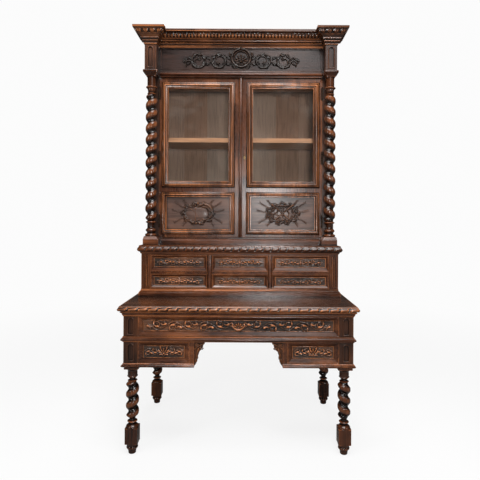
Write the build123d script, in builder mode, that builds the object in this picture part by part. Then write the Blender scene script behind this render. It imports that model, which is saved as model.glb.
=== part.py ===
from build123d import *
import os
from itertools import pairwise

# A carved secretary desk in three stages: a kneehole desk on four barley-twist legs, a low riser
# with six small drawers, and a glazed bookcase with two doors between twisted columns.
# Millimetres. +Z is up, the front faces -Y, and the origin is on the floor under the centre.

# ---------------------------------------------------------------- driving dimensions
TOP_HALF_W, TOP_HALF_D = 626, 359      # desk top, half its width and half its depth
TOP_Z, TOP_THICK = 778, 30             # writing height, and the desk top's thickness
DESK_HALF_W, DESK_FRONT, DESK_BACK = 596, -330, 354
LEG_X, LEG_FRONT_Y, LEG_REAR_Y = 556, -295, 319
LEG_HEIGHT = 460
POST = 74                              # width of a corner post
PEDESTAL_INNER_X = 230                 # half the width of the kneehole
WAIST_Z0, WAIST_Z1 = 591, 619          # moulding between the frieze and the pedestals
RISER_HALF_W, RISER_FRONT, RISER_BACK = 572, -60, 350
RISER_TOP_Z = 1074
CABINET_HALF_W, CABINET_FRONT = 560, 31
CABINET_TOP_Z, CROWN_Z = 2339, 2250
DOOR_HALF_W, DOOR_Z0, DOOR_Z1 = 488.5, 1121, 2075
DOOR_THICK = 24
COLUMN_X, COLUMN_Y = 529, -6

GAP = 1.5                              # play around a drawer front or a door
BOARD = 20                             # case boards
SOCKET_CLEAR = 0.1                     # play of a dowel in its hole
LEFT, RIGHT = -1, 1
FRONT_WALL = 22                        # thickness of a large drawer front

os.makedirs("parts", exist_ok=True)


# ---------------------------------------------------------------- helpers
def block(x, y, z, mode=Mode.ADD):
    """A box between two values on each axis, added to the part being built."""
    with Locations(((x[0] + x[1]) / 2, (y[0] + y[1]) / 2, (z[0] + z[1]) / 2)):
        Box(abs(x[1] - x[0]), abs(y[1] - y[0]), abs(z[1] - z[0]), mode=mode)


def board(x, y, z):
    """A plain rectangular board."""
    with BuildPart() as piece:
        block(x, y, z)
    return piece.part


def mirrored(solid):
    """The same piece on the other side of the desk."""
    with BuildPart() as twin:
        mirror(solid, about=Plane.YZ)
    return twin.part


def sided(low, high, side):
    """A range of x on the right side, or its mirror image on the left."""
    return (low, high) if side == RIGHT else (-high, -low)


def write(name, *solids):
    """Labels and exports one node, which holds one solid or several separate ones."""
    node = solids[0] if len(solids) == 1 else Compound(children=list(solids))
    node.label = name
    export_step(node, f"parts/{name}.step")


def turned(x, y, stations, mode=Mode.ADD):
    """A lathe-turned shape. A station is (radius, z), or (radius, z, r) when an arc of middle radius r leads to it."""
    with BuildSketch(Plane((x, y, 0), x_dir=(1, 0, 0), z_dir=(0, -1, 0))) as half:
        with BuildLine():
            for start, end in pairwise(stations):
                if len(end) == 3:
                    ThreePointArc(start[:2], (end[2], (start[1] + end[1]) / 2), end[:2])
                else:
                    Line(start[:2], end[:2])
            Polyline(stations[-1][:2], (0, stations[-1][1]), (0, stations[0][1]), stations[0][:2])
        make_face()
    revolve(half.sketch, axis=Axis((x, y, 0), (0, 0, 1)), mode=mode)


def twist(x, y, z0, z1, pitch, radius, throw, left_handed):
    """A barley twist: a round bine whose centre winds round the axis at a distance of throw."""
    height = z1 - z0
    with BuildLine(mode=Mode.PRIVATE) as axis:
        Line((x, y, z0), (x, y, z1))
    with BuildSketch(Plane((x, y, z0))) as bine:
        with Locations((throw, 0)):
            Circle(radius)
    guide = Edge.make_helix(pitch, height, radius, center=(x, y, z0), lefthand=left_handed)
    sweep(bine.sketch, path=axis.line, binormal=guide)


def moulding(profile, outward, start, length, cuts=()):
    """A straight run of moulding. profile lists (projection, z), outward is its unit vector, start is its
    first end, seen from outside at the right, and cuts are planes whose upper side is cut away."""
    along = Vector(outward).cross(Vector(0, 0, 1))
    with BuildPart() as run:
        with BuildSketch(Plane(start, x_dir=outward, z_dir=along)) as section:
            with BuildLine():
                for from_point, to_point in pairwise(profile + profile[:1]):
                    if len(to_point) == 4:
                        ThreePointArc(from_point[:2], to_point[2:], to_point[:2])
                    else:
                        Line(from_point[:2], to_point[:2])
            make_face()
        extrude(section.sketch, amount=length)
        for plane in cuts:
            split(bisect_by=plane, keep=Keep.BOTTOM)
    return run.part


def mitre(x, y, towards):
    """The upright plane through a corner at 45 degrees, which cuts away the side that towards points to."""
    return Plane((x, y, 0), x_dir=(0, 0, 1), z_dir=towards)


def wrapped(profile, half_w, front, back):
    """A moulding round the front and both sides of a case, mitred at the front corners: three solids."""
    reach = max(point[0] for point in profile)
    face = moulding(
        profile, (0, -1, 0), (half_w + reach, front, 0), 2 * (half_w + reach),
        [mitre(half_w, front, (1, 1, 0)), mitre(-half_w, front, (-1, 1, 0))],
    )
    flank = moulding(
        profile, (-1, 0, 0), (-half_w, front - reach, 0), back - front + reach,
        [mitre(-half_w, front, (1, -1, 0))],
    )
    return face, flank, mirrored(flank)


def sunk_niche(x, front, z0, z1, width, depth):
    """Cuts a flute with a round head into a front face."""
    with BuildSketch(Plane((x, front, 0), x_dir=(1, 0, 0), z_dir=(0, -1, 0))) as niche:
        with Locations((0, (z0 + z1) / 2)):
            Rectangle(width, z1 - z0 - width)
        with Locations((0, z1 - width / 2), (0, z0 + width / 2)):
            Circle(width / 2)
    extrude(niche.sketch, amount=-depth, mode=Mode.SUBTRACT)


def panelled_front(x, z, face, thick, border, recess):
    """A drawer front whose bevelled border slopes in to a sunk field. border is (side, bottom, top)."""
    side, bottom, top = border
    lip = 3
    with BuildPart() as piece:
        block(x, (face, face + thick), z)
        outer = ((x[0] + lip, x[1] - lip), (z[0] + lip, z[1] - lip))
        inner = ((x[0] + side, x[1] - side), (z[0] + bottom, z[1] - top))
        with BuildSketch(Plane((0, face, 0), x_dir=(1, 0, 0), z_dir=(0, -1, 0))) as mouth:
            with Locations((sum(outer[0]) / 2, sum(outer[1]) / 2)):
                Rectangle(outer[0][1] - outer[0][0], outer[1][1] - outer[1][0])
        with BuildSketch(Plane((0, face + recess, 0), x_dir=(1, 0, 0), z_dir=(0, -1, 0))) as floor:
            with Locations((sum(inner[0]) / 2, sum(inner[1]) / 2)):
                Rectangle(inner[0][1] - inner[0][0], inner[1][1] - inner[1][0])
        loft([mouth.sketch, floor.sketch], mode=Mode.SUBTRACT)
    return piece.part


def drawer_box(x, y, z, wall, floor):
    """The four separate boards behind a drawer front: two sides, the back and the bottom."""
    base, rim = z[0] + floor, z[1]
    return (
        board((x[0], x[0] + wall), y, (base, rim)),
        board((x[1] - wall, x[1]), y, (base, rim)),
        board((x[0] + wall, x[1] - wall), (y[1] - wall, y[1]), (base, rim)),
        board(x, y, (z[0], base)),
    )


def bead(r_neck, r_out, z0, z1):
    """Two stations that make one round bead on a turning."""
    return [(r_neck, z0), (r_neck, z1, r_out)]


# ---------------------------------------------------------------- legs
LEG_TWIST_Z0, LEG_TWIST_Z1, LEG_PITCH = 188, 376, 59
BINE_R, BINE_THROW = 27.5, 6.3
BLOCK_HALF = 33
DOWEL_R, DOWEL_TOP = 12, 508
ABACUS_HALF = 38


def leg(x, y, left_handed):
    with BuildPart() as piece:
        turned(x, y, [(17, 0), (19, 2), (21.5, 23), *bead(24, 30, 24, 42)])
        block((x - BLOCK_HALF, x + BLOCK_HALF), (y - BLOCK_HALF, y + BLOCK_HALF), (42, 152))
        turned(
            x, y, [(29, 0), (29, 42), (48, 56, 44), (48, 136), (24, 152, 42), (24, LEG_HEIGHT)],
            mode=Mode.INTERSECT,
        )
        turned(x, y, [(17, 0), (19, 2), (21.5, 23), *bead(24, 30, 24, 42)])
        turned(x, y, [(24, 152), (15, 158, 18), (16, 160), (16, 176, 27), (14, 180), (17, LEG_TWIST_Z0)])
        twist(x, y, LEG_TWIST_Z0, LEG_TWIST_Z1, LEG_PITCH, BINE_R, BINE_THROW, left_handed)
        turned(
            x, y,
            [(17, LEG_TWIST_Z1), (17, 385, 25), (14, 389, 14.5), (26, 402, 17), (27, 405, 28),
             (25, 408), (25, 425), (33, 444, 26), (33, 446)],
        )
        block(
            (x - ABACUS_HALF, x + ABACUS_HALF), (y - ABACUS_HALF, y + ABACUS_HALF), (446, LEG_HEIGHT)
        )
        turned(x, y, [(DOWEL_R, LEG_HEIGHT), (DOWEL_R, DOWEL_TOP)])
    return piece.part


for place, leg_y in (("front", LEG_FRONT_Y), ("rear", LEG_REAR_Y)):
    write(f"leg_{place}_left", leg(-LEG_X, leg_y, True))
    write(f"leg_{place}_right", leg(LEG_X, leg_y, False))


# ---------------------------------------------------------------- desk case
BASE_Z = 480                            # top of the pedestal's bottom board
CASE_TOP_Z = TOP_Z - TOP_THICK
POST_DEPTH = 70
DRAWER_Z1 = 724                         # top of the frieze drawer's opening
POST_X = (DESK_HALF_W - POST, DESK_HALF_W)
FRONT_POST_Y = (DESK_FRONT, DESK_FRONT + POST_DEPTH)
REAR_POST_Y = (DESK_BACK - POST_DEPTH, DESK_BACK)
NICHE_W, NICHE_DEPTH = 30, 5


def dowel_hole(x, y, z):
    """Cuts the hole that a leg's dowel stands in."""
    with Locations((x, y, (z[0] + z[1]) / 2)):
        Cylinder(DOWEL_R + SOCKET_CLEAR, z[1] - z[0], mode=Mode.SUBTRACT)


def corner_post(side, y, leg_y, front_post):
    with BuildPart() as post:
        block(sided(*POST_X, side), y, (BASE_Z, CASE_TOP_Z))
        dowel_hole(side * LEG_X, leg_y, (BASE_Z, DOWEL_TOP + 1))
        if front_post:
            centre = side * (POST_X[0] + POST_X[1]) / 2
            sunk_niche(centre, y[0], BASE_Z + 12, WAIST_Z0 - 12, NICHE_W, NICHE_DEPTH)
            sunk_niche(centre, y[0], WAIST_Z1 + 9, DRAWER_Z1 - 9, NICHE_W, NICHE_DEPTH)
    return post.part


write(
    "corner_posts",
    *[corner_post(side, FRONT_POST_Y, LEG_FRONT_Y, True) for side in (LEFT, RIGHT)],
    *[corner_post(side, REAR_POST_Y, LEG_REAR_Y, False) for side in (LEFT, RIGHT)],
)

SIDE_X = (DESK_HALF_W - 24, DESK_HALF_W - 6)
SIDE_Y = (FRONT_POST_Y[1], REAR_POST_Y[0])
FIELD_MARGIN, FIELD_SINK = 42, 7


def desk_side(side):
    """The case side between two posts, with one sunk field above the waist and one below."""
    with BuildPart() as panel:
        block(sided(*SIDE_X, side), SIDE_Y, (BASE_Z, CASE_TOP_Z))
        for z0, z1 in ((BASE_Z + 18, WAIST_Z0 - 14), (WAIST_Z1 + 14, DRAWER_Z1 - 14)):
            block(
                sided(SIDE_X[1] - FIELD_SINK, SIDE_X[1], side),
                (SIDE_Y[0] + FIELD_MARGIN, SIDE_Y[1] - FIELD_MARGIN),
                (z0, z1),
                mode=Mode.SUBTRACT,
            )
    return panel.part


write("desk_side_left", desk_side(LEFT))
write("desk_side_right", desk_side(RIGHT))

BACK_Y = (DESK_BACK - 22, DESK_BACK - 4)
BACK_X = DESK_HALF_W - POST
write(
    "desk_back",
    board((-BACK_X, BACK_X), BACK_Y, (WAIST_Z0, CASE_TOP_Z)),
    board((-BACK_X, -PEDESTAL_INNER_X), BACK_Y, (BASE_Z, WAIST_Z0)),
    board((PEDESTAL_INNER_X, BACK_X), BACK_Y, (BASE_Z, WAIST_Z0)),
)

# The desk top: a board with a rounded and undercut edge, the seat of its carved ribbon.
EDGE_REACH = TOP_HALF_W - DESK_HALF_W
EDGE = [
    (0, CASE_TOP_Z), (13, CASE_TOP_Z), (15, CASE_TOP_Z + 4), (25, CASE_TOP_Z + 5),
    (25, TOP_Z - 8, EDGE_REACH, CASE_TOP_Z + 13), (20, TOP_Z - 3, 23.5, TOP_Z - 4.5),
    (18, TOP_Z), (0, TOP_Z),
]
EDGE_FRONT = -TOP_HALF_D + EDGE_REACH
write(
    "desk_top",
    board((-DESK_HALF_W, DESK_HALF_W), (EDGE_FRONT, TOP_HALF_D), (CASE_TOP_Z, TOP_Z)),
)
write("desk_top_edge", *wrapped(EDGE, DESK_HALF_W, EDGE_FRONT, TOP_HALF_D))

# Under the top: a cove moulding that is planted on the case, and the rail behind it.
TOP_COVE = [
    (0, DRAWER_Z1), (3, DRAWER_Z1), (3, DRAWER_Z1 + 5), (7, DRAWER_Z1 + 7),
    (15, CASE_TOP_Z - 4, 8.5, CASE_TOP_Z - 8), (15, CASE_TOP_Z), (0, CASE_TOP_Z),
]
write(
    "top_moulding",
    *wrapped(TOP_COVE, DESK_HALF_W, DESK_FRONT, DESK_BACK),
    board((-POST_X[0], POST_X[0]), (DESK_FRONT, DESK_FRONT + 24), (DRAWER_Z1, CASE_TOP_Z)),
)

WAIST_RAIL_Y = (DESK_FRONT, DESK_FRONT + 30)
WAIST = [
    (0, WAIST_Z0), (4, WAIST_Z0), (4, WAIST_Z0 + 4), (11, WAIST_Z0 + 8),
    (11, WAIST_Z0 + 17, 13, WAIST_Z0 + 12.5), (5, WAIST_Z1 - 5, 6, WAIST_Z1 - 8), (3, WAIST_Z1),
    (0, WAIST_Z1),
]
write(
    "waist_moulding",
    *wrapped(WAIST, DESK_HALF_W, DESK_FRONT, DESK_BACK),
    board((-POST_X[0], POST_X[0]), WAIST_RAIL_Y, (WAIST_Z0, WAIST_Z1)),
)

# The pedestals: a bottom board, its planted moulding, the inner side and its front stile.
FOOT_MOULD = [
    (0, LEG_HEIGHT), (5, LEG_HEIGHT), (10, LEG_HEIGHT + 4), (10, LEG_HEIGHT + 10, 11.5, LEG_HEIGHT + 7),
    (4, BASE_Z - 2, 5, LEG_HEIGHT + 14), (2, BASE_Z), (0, BASE_Z),
]
STILE_W, INNER_SIDE_W = 24, 16


def pedestal_base(side):
    """The bottom board of one pedestal and the two strips of moulding round it."""
    with BuildPart() as bottom:
        block(
            sided(PEDESTAL_INNER_X, DESK_HALF_W, side), (DESK_FRONT, DESK_BACK), (LEG_HEIGHT, BASE_Z)
        )
        for y in (LEG_FRONT_Y, LEG_REAR_Y):
            dowel_hole(side * LEG_X, y, (LEG_HEIGHT, BASE_Z))
    reach = max(point[0] for point in FOOT_MOULD)
    face = moulding(
        FOOT_MOULD, (0, -1, 0), (-PEDESTAL_INNER_X, DESK_FRONT, 0),
        DESK_HALF_W - PEDESTAL_INNER_X + reach, [mitre(-DESK_HALF_W, DESK_FRONT, (-1, 1, 0))],
    )
    flank = moulding(
        FOOT_MOULD, (-1, 0, 0), (-DESK_HALF_W, DESK_FRONT - reach, 0), DESK_BACK - DESK_FRONT + reach,
        [mitre(-DESK_HALF_W, DESK_FRONT, (1, -1, 0))],
    )
    strips = (face, flank) if side == LEFT else (mirrored(face), mirrored(flank))
    return bottom.part, *strips


write("pedestal_base_left", *pedestal_base(LEFT))
write("pedestal_base_right", *pedestal_base(RIGHT))
write(
    "pedestal_inner_sides",
    *[
        board(
            sided(PEDESTAL_INNER_X, PEDESTAL_INNER_X + INNER_SIDE_W, side),
            (DESK_FRONT + FRONT_WALL, BACK_Y[0]), (BASE_Z, WAIST_Z0),
        )
        for side in (LEFT, RIGHT)
    ],
    *[
        board(
            sided(PEDESTAL_INNER_X, PEDESTAL_INNER_X + STILE_W, side),
            (DESK_FRONT, DESK_FRONT + FRONT_WALL), (BASE_Z, WAIST_Z0),
        )
        for side in (LEFT, RIGHT)
    ],
)

# The dust board under the frieze drawer, and the rails that guide the three desk drawers.
DUST_BOARD = 14
GUIDE_X = (519, 530)
PEDESTAL_GUIDE_X = (246.5, 257)
GUIDE_H = 30
guides = [
    board(sided(*GUIDE_X, side), SIDE_Y, (z0, z0 + GUIDE_H))
    for side in (LEFT, RIGHT)
    for z0 in (BASE_Z, WAIST_Z1)
]
guides += [
    board(sided(*PEDESTAL_GUIDE_X, side), SIDE_Y, (BASE_Z, BASE_Z + GUIDE_H)) for side in (LEFT, RIGHT)
]
write(
    "drawer_runners",
    board((-BACK_X, BACK_X), (WAIST_RAIL_Y[1], BACK_Y[0]), (WAIST_Z1 - DUST_BOARD, WAIST_Z1)),
    *guides,
)

# Brackets in the upper corners of the kneehole.
BRACKET_W, BRACKET_Z0 = 62, 462
BRACKET_Y = (DESK_FRONT + 6, DESK_FRONT + 24)


def bracket():
    """The left bracket, a flat board sawn to a double curve with a small knop near its foot."""
    edge, top = -PEDESTAL_INNER_X, WAIST_Z0
    with BuildPart() as piece:
        with BuildSketch(Plane((0, BRACKET_Y[1], 0), x_dir=(1, 0, 0), z_dir=(0, -1, 0))) as outline:
            with BuildLine():
                Polyline((edge, BRACKET_Z0), (edge, top), (edge + BRACKET_W, top))
                RadiusArc((edge + BRACKET_W, top), (edge + 46, top - 20), -34)
                RadiusArc((edge + 46, top - 20), (edge + 34, top - 44), 26)
                RadiusArc((edge + 34, top - 44), (edge + 10, top - 92), -64)
                RadiusArc((edge + 10, top - 92), (edge + 11, top - 108), 8.5)
                Line((edge + 11, top - 108), (edge, BRACKET_Z0))
            make_face()
        extrude(outline.sketch, amount=BRACKET_Y[1] - BRACKET_Y[0])
    return piece.part


write("bracket_left", bracket())
write("bracket_right", mirrored(bracket()))

# ---------------------------------------------------------------- desk drawers
DESK_BOX_BACK = 286
BOX_WALL, BOX_FLOOR = 12, 8
FRIEZE_FRONT_X = POST_X[0] - GAP
write(
    "frieze_drawer_front",
    panelled_front(
        (-FRIEZE_FRONT_X, FRIEZE_FRONT_X), (WAIST_Z1 + GAP, DRAWER_Z1 - GAP), DESK_FRONT, FRONT_WALL,
        (23, 24, 19), 12,
    ),
)
write(
    "frieze_drawer_box",
    *drawer_box(
        (-517, 517), (DESK_FRONT + FRONT_WALL, DESK_BOX_BACK), (WAIST_Z1 + GAP, 708),
        BOX_WALL, BOX_FLOOR,
    ),
)

PEDESTAL_DRAWER_X = (PEDESTAL_INNER_X + STILE_W + GAP, FRIEZE_FRONT_X)
for side, name in ((LEFT, "left"), (RIGHT, "right")):
    write(
        f"{name}_drawer_front",
        panelled_front(
            sided(*PEDESTAL_DRAWER_X, side), (BASE_Z + GAP, WAIST_Z0 - GAP), DESK_FRONT, FRONT_WALL,
            (24, 24, 20), 12,
        ),
    )
    write(
        f"{name}_drawer_box",
        *drawer_box(
            sided(259, 517, side), (DESK_FRONT + FRONT_WALL, DESK_BOX_BACK), (BASE_Z + GAP, 574),
            BOX_WALL, BOX_FLOOR,
        ),
    )

# ---------------------------------------------------------------- riser
RISER_FLOOR_Z, RISER_CEILING_Z = 827, 1018
ROWS = {"lower": (RISER_FLOOR_Z, 908), "upper": (922, RISER_CEILING_Z)}
DIVIDER_X = (163.5, 188.5)
RISER_STILE_X = 518
RISER_COLUMNS = {
    "left": (-RISER_STILE_X, -DIVIDER_X[1]),
    "middle": (-DIVIDER_X[0], DIVIDER_X[0]),
    "right": (DIVIDER_X[1], RISER_STILE_X),
}
RISER_WALL, RISER_CAP_Z = 20, 1054
RISER_STILE_Y = (RISER_FRONT, RISER_FRONT + 24)
RISER_INSIDE_BACK = RISER_BACK - 12
REED_X = (535, 545, 555)


def riser_stile(side):
    """The upright strip at one end of the riser's front, with three flutes."""
    with BuildPart() as stile:
        block(sided(RISER_STILE_X, RISER_HALF_W, side), RISER_STILE_Y, (TOP_Z, RISER_CAP_Z))
        for x in REED_X:
            sunk_niche(side * x, RISER_FRONT, RISER_FLOOR_Z + 8, RISER_CEILING_Z - 4, 6, 3)
    return stile.part


write(
    "riser_sides",
    *[riser_stile(side) for side in (LEFT, RIGHT)],
    *[
        board(
            sided(RISER_HALF_W - RISER_WALL, RISER_HALF_W, side), (RISER_STILE_Y[1], RISER_BACK),
            (TOP_Z, RISER_CAP_Z),
        )
        for side in (LEFT, RIGHT)
    ],
)

RISER_INNER_X = RISER_HALF_W - RISER_WALL
write("riser_back", board((-RISER_INNER_X, RISER_INNER_X), (RISER_INSIDE_BACK, RISER_BACK), (TOP_Z, RISER_CAP_Z)))

RISER_PLINTH = [
    (0, TOP_Z), (13, TOP_Z), (13, TOP_Z + 22), (9, TOP_Z + 26, 12, TOP_Z + 25), (9, TOP_Z + 31),
    (2, TOP_Z + 42, 4, TOP_Z + 34), (2, TOP_Z + 44), (0, TOP_Z + 44),
]
write(
    "riser_base",
    *wrapped(RISER_PLINTH, RISER_HALF_W, RISER_FRONT, RISER_BACK),
    board((-RISER_STILE_X, RISER_STILE_X), RISER_STILE_Y, (TOP_Z, RISER_FLOOR_Z)),
    board((-RISER_INNER_X, RISER_INNER_X), (RISER_STILE_Y[1], RISER_INSIDE_BACK), (813, RISER_FLOOR_Z)),
)


def divider(side):
    """A partition between two columns of drawers, with a half-round front edge."""
    with BuildPart() as piece:
        block(sided(*DIVIDER_X, side), (RISER_FRONT, RISER_INSIDE_BACK), (RISER_FLOOR_Z, RISER_CEILING_Z))
        front_edges = piece.edges().filter_by(Axis.Z).group_by(Axis.Y)[0]
        fillet(front_edges, 9)
    return piece.part


RISER_GUIDE_X = (519, 531)
write(
    "riser_partitions",
    divider(LEFT),
    divider(RIGHT),
    *[board(x, (RISER_FRONT + 3, RISER_INSIDE_BACK), (908, 922)) for x in RISER_COLUMNS.values()],
    *[
        board(sided(*RISER_GUIDE_X, side), (RISER_STILE_Y[1], RISER_INSIDE_BACK), (z0, z0 + 24))
        for side in (LEFT, RIGHT)
        for z0 in (RISER_FLOOR_Z, 922)
    ],
)

CAP_Z = 1027
RISER_CAP = [
    (0, CAP_Z), (4, CAP_Z), (6, CAP_Z + 6), (12, CAP_Z + 12, 7, CAP_Z + 11), (17, CAP_Z + 15),
    (17, RISER_TOP_Z - 10, 23, CAP_Z + 26), (12, RISER_TOP_Z - 6), (12, RISER_TOP_Z), (0, RISER_TOP_Z),
]
write(
    "riser_cornice",
    *wrapped(RISER_CAP, RISER_HALF_W, RISER_FRONT, RISER_BACK),
)
write(
    "riser_top",
    board((-RISER_STILE_X, RISER_STILE_X), RISER_STILE_Y, (RISER_CEILING_Z, RISER_CAP_Z)),
    board((-RISER_HALF_W, RISER_HALF_W), (RISER_FRONT, RISER_BACK), (RISER_CAP_Z, RISER_TOP_Z)),
)

RISER_BOX_WALL, RISER_BOX_FLOOR, RISER_BOX_BACK = 9, 6, 300
RISER_FRONT_WALL = 20
BORDERS = {"upper": (16, 24, 14), "lower": (16, 14, 14)}
for row, (z0, z1) in ROWS.items():
    for column, (x0, x1) in RISER_COLUMNS.items():
        write(
            f"riser_drawer_{row}_{column}",
            panelled_front(
                (x0 + GAP, x1 - GAP), (z0 + GAP, z1 - GAP), RISER_FRONT, RISER_FRONT_WALL,
                BORDERS[row], 9,
            ),
            *drawer_box(
                (x0 + 2 * GAP, x1 - 2 * GAP), (RISER_FRONT + RISER_FRONT_WALL, RISER_BOX_BACK),
                (z0 + GAP, z1 - 12), RISER_BOX_WALL, RISER_BOX_FLOOR,
            ),
        )

# ---------------------------------------------------------------- bookcase case
STILE_Y = (CABINET_FRONT, CABINET_FRONT + DOOR_THICK)
CASE_STILE_X = (DOOR_HALF_W + GAP, CABINET_HALF_W)
SIDE_INNER_X = CABINET_HALF_W - BOARD
ROOF_Z0 = 2321
CASE_BACK_Y = (338, 350)
PLANKS, SEAM = 7, 0.4

for side, name in ((LEFT, "left"), (RIGHT, "right")):
    write(
        f"cabinet_side_{name}",
        board(sided(*CASE_STILE_X, side), STILE_Y, (RISER_TOP_Z, ROOF_Z0)),
        board(
            sided(SIDE_INNER_X, CABINET_HALF_W, side), (STILE_Y[1], CASE_BACK_Y[1]),
            (RISER_TOP_Z, ROOF_Z0),
        ),
    )

plank_w = 2 * SIDE_INNER_X / PLANKS
write(
    "cabinet_back",
    *[
        board(
            (i * plank_w - SIDE_INNER_X, (i + 1) * plank_w - SIDE_INNER_X - SEAM), CASE_BACK_Y,
            (RISER_TOP_Z, ROOF_Z0),
        )
        for i in range(PLANKS)
    ],
)

PLINTH_X = (477, 567)
RAIL_Z1, RAIL_FRONT = 1110, 5
FLOOR_Z = (1100, 1118)
CEILING_Z = (2084, 2102)
with BuildPart() as bottom_rail:
    block((-PLINTH_X[0], PLINTH_X[0]), (RAIL_FRONT, CABINET_FRONT), (RISER_TOP_Z, RAIL_Z1))
    chamfer(bottom_rail.edges().filter_by(Axis.X).group_by(Axis.Z)[-1].sort_by(Axis.Y)[0], 9)
write(
    "cabinet_boards",
    bottom_rail.part,
    board((-CASE_STILE_X[0], CASE_STILE_X[0]), STILE_Y, (RISER_TOP_Z, FLOOR_Z[1])),
    board((-SIDE_INNER_X, SIDE_INNER_X), (STILE_Y[1], CASE_BACK_Y[0]), FLOOR_Z),
    board((-SIDE_INNER_X, SIDE_INNER_X), (STILE_Y[1], CASE_BACK_Y[0]), CEILING_Z),
    board((-CABINET_HALF_W, CABINET_HALF_W), (STILE_Y[1], CASE_BACK_Y[1]), (ROOF_Z0, CABINET_TOP_Z)),
)

SHELF_Z, SHELF_FRONT = (1699, 1725), 80
write("shelf", board((-SIDE_INNER_X + 1, SIDE_INNER_X - 1), (SHELF_FRONT, CASE_BACK_Y[0] - 2), SHELF_Z))
write(
    "shelf_cleats",
    *[
        board(sided(SIDE_INNER_X - 16, SIDE_INNER_X, side), (SHELF_FRONT + 8, 320), (1679, SHELF_Z[0]))
        for side in (LEFT, RIGHT)
    ],
)

# ---------------------------------------------------------------- frieze, cornice and crowns
BLOCK_X = (495, 562)
BLOCK_Y = (-48, CABINET_FRONT)
CAPITAL_Z = 2100
FRIEZE_Y = (25, STILE_Y[1])
FRIEZE_MOULD_Z = 2119
with BuildPart() as frieze_board:
    block((-CASE_STILE_X[0], CASE_STILE_X[0]), FRIEZE_Y, (2079, ROOF_Z0))
    block((-BLOCK_X[0], BLOCK_X[0]), (FRIEZE_Y[0], CABINET_FRONT), (2079, ROOF_Z0))
    block((-478, 478), (FRIEZE_Y[0], FRIEZE_Y[0] + 6), (2130, 2250), Mode.SUBTRACT)
FRIEZE_FOOT_X = 485                     # stops beside the capitals
FRIEZE_FOOT = [
    (0, 2079), (6, 2079), (6, 2086), (16, 2090), (16, 2100, 19, 2095), (10, 2104), (10, 2110),
    (3, 2117, 4, 2111), (0, FRIEZE_MOULD_Z),
]
write(
    "frieze_board",
    frieze_board.part,
    moulding(FRIEZE_FOOT, (0, -1, 0), (FRIEZE_FOOT_X, FRIEZE_Y[0], 0), 2 * FRIEZE_FOOT_X),
)

# The crowns stand proud of the cornice over each column, and flare out on every side.
CROWN_LAYERS = [(0, 0), (5, 8), (8, 14), (10, 22), (14, 28), (19, 31), (21, 42), (26, 47), (33, 52),
                (44, 64), (50, 72), (53, 74), (56, 76), (58, 89)]


def crown_stack(side):
    """The flaring cap as a pile of square frustums. CROWN_LAYERS holds (projection, height)."""
    centre = (side * (BLOCK_X[0] + BLOCK_X[1]) / 2, (BLOCK_Y[0] + BLOCK_Y[1]) / 2)
    size = (BLOCK_X[1] - BLOCK_X[0], BLOCK_Y[1] - BLOCK_Y[0])
    for (reach0, rise0), (reach1, rise1) in pairwise(CROWN_LAYERS):
        sections = []
        for reach, rise in ((reach0, rise0), (reach1, rise1)):
            with BuildSketch(Plane.XY.offset(CROWN_Z + rise), mode=Mode.PRIVATE) as outline:
                with Locations(centre):
                    Rectangle(size[0] + 2 * reach, size[1] + 2 * reach)
            sections.append(outline.sketch)
        loft(sections, ruled=True)


def frieze_block(side):
    with BuildPart() as piece:
        block(sided(*BLOCK_X, side), BLOCK_Y, (CAPITAL_Z, CROWN_Z))
        sunk_niche(
            side * sum(BLOCK_X) / 2, BLOCK_Y[0], CAPITAL_Z + 14, CROWN_Z - 14, NICHE_W, NICHE_DEPTH
        )
    return piece.part


def crown(side):
    """The flaring cap over a column, fitted round the corner of the case."""
    with BuildPart() as piece:
        crown_stack(side)
        for half_width, face in ((CABINET_HALF_W, CABINET_FRONT), (BLOCK_X[0], FRIEZE_Y[0])):
            block(
                (-half_width, half_width), (face, CASE_BACK_Y[0]), (CROWN_Z, CABINET_TOP_Z),
                mode=Mode.SUBTRACT,
            )
    return piece.part


write("frieze_blocks", frieze_block(LEFT), frieze_block(RIGHT))
write("crown_left", crown(LEFT))
write("crown_right", crown(RIGHT))

CORNICE = [
    (0, 2256), (6, 2256), (8, 2262), (8, 2268, 11, 2265), (12, 2270), (14, 2274), (14, 2281, 18, 2277.5),
    (20, 2284), (26, 2286), (32, 2294, 27, 2293), (40, 2298), (58, 2322, 53, 2305), (66, 2324),
    (76, 2326), (76, CABINET_TOP_Z), (0, CABINET_TOP_Z),
]
SIDE_CORNICE_REACH = 0.6                # of the front cornice's
SIDE_CORNICE = [(point[0] * SIDE_CORNICE_REACH, *point[1:2], *point[2:]) for point in CORNICE]
SIDE_CORNICE = [
    (*point[:2], point[2] * SIDE_CORNICE_REACH, point[3]) if len(point) == 4 else point
    for point in SIDE_CORNICE
]


with BuildPart() as crown_room:
    for side in (LEFT, RIGHT):
        block(sided(*BLOCK_X, side), BLOCK_Y, (CAPITAL_Z, CROWN_Z))
        crown_stack(side)


def clear_of_crowns(solid):
    """The piece with the room that both crowns take cut out of it."""
    with BuildPart() as trimmed:
        add(solid)
        add(crown_room.part, mode=Mode.SUBTRACT)
    return trimmed.part


side_run = clear_of_crowns(
    moulding(
        SIDE_CORNICE, (-1, 0, 0), (-CABINET_HALF_W, CABINET_FRONT, 0), CASE_BACK_Y[1] - CABINET_FRONT
    )
)
write(
    "cornice",
    clear_of_crowns(moulding(CORNICE, (0, -1, 0), (BLOCK_X[0], FRIEZE_Y[0], 0), 2 * BLOCK_X[0])),
    side_run,
    mirrored(side_run),
    board((-BLOCK_X[0], BLOCK_X[0]), FRIEZE_Y, (ROOF_Z0, CABINET_TOP_Z)),
    *[
        board(sided(BLOCK_X[0], CABINET_HALF_W, side), STILE_Y, (ROOF_Z0, CABINET_TOP_Z))
        for side in (LEFT, RIGHT)
    ],
)

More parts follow.
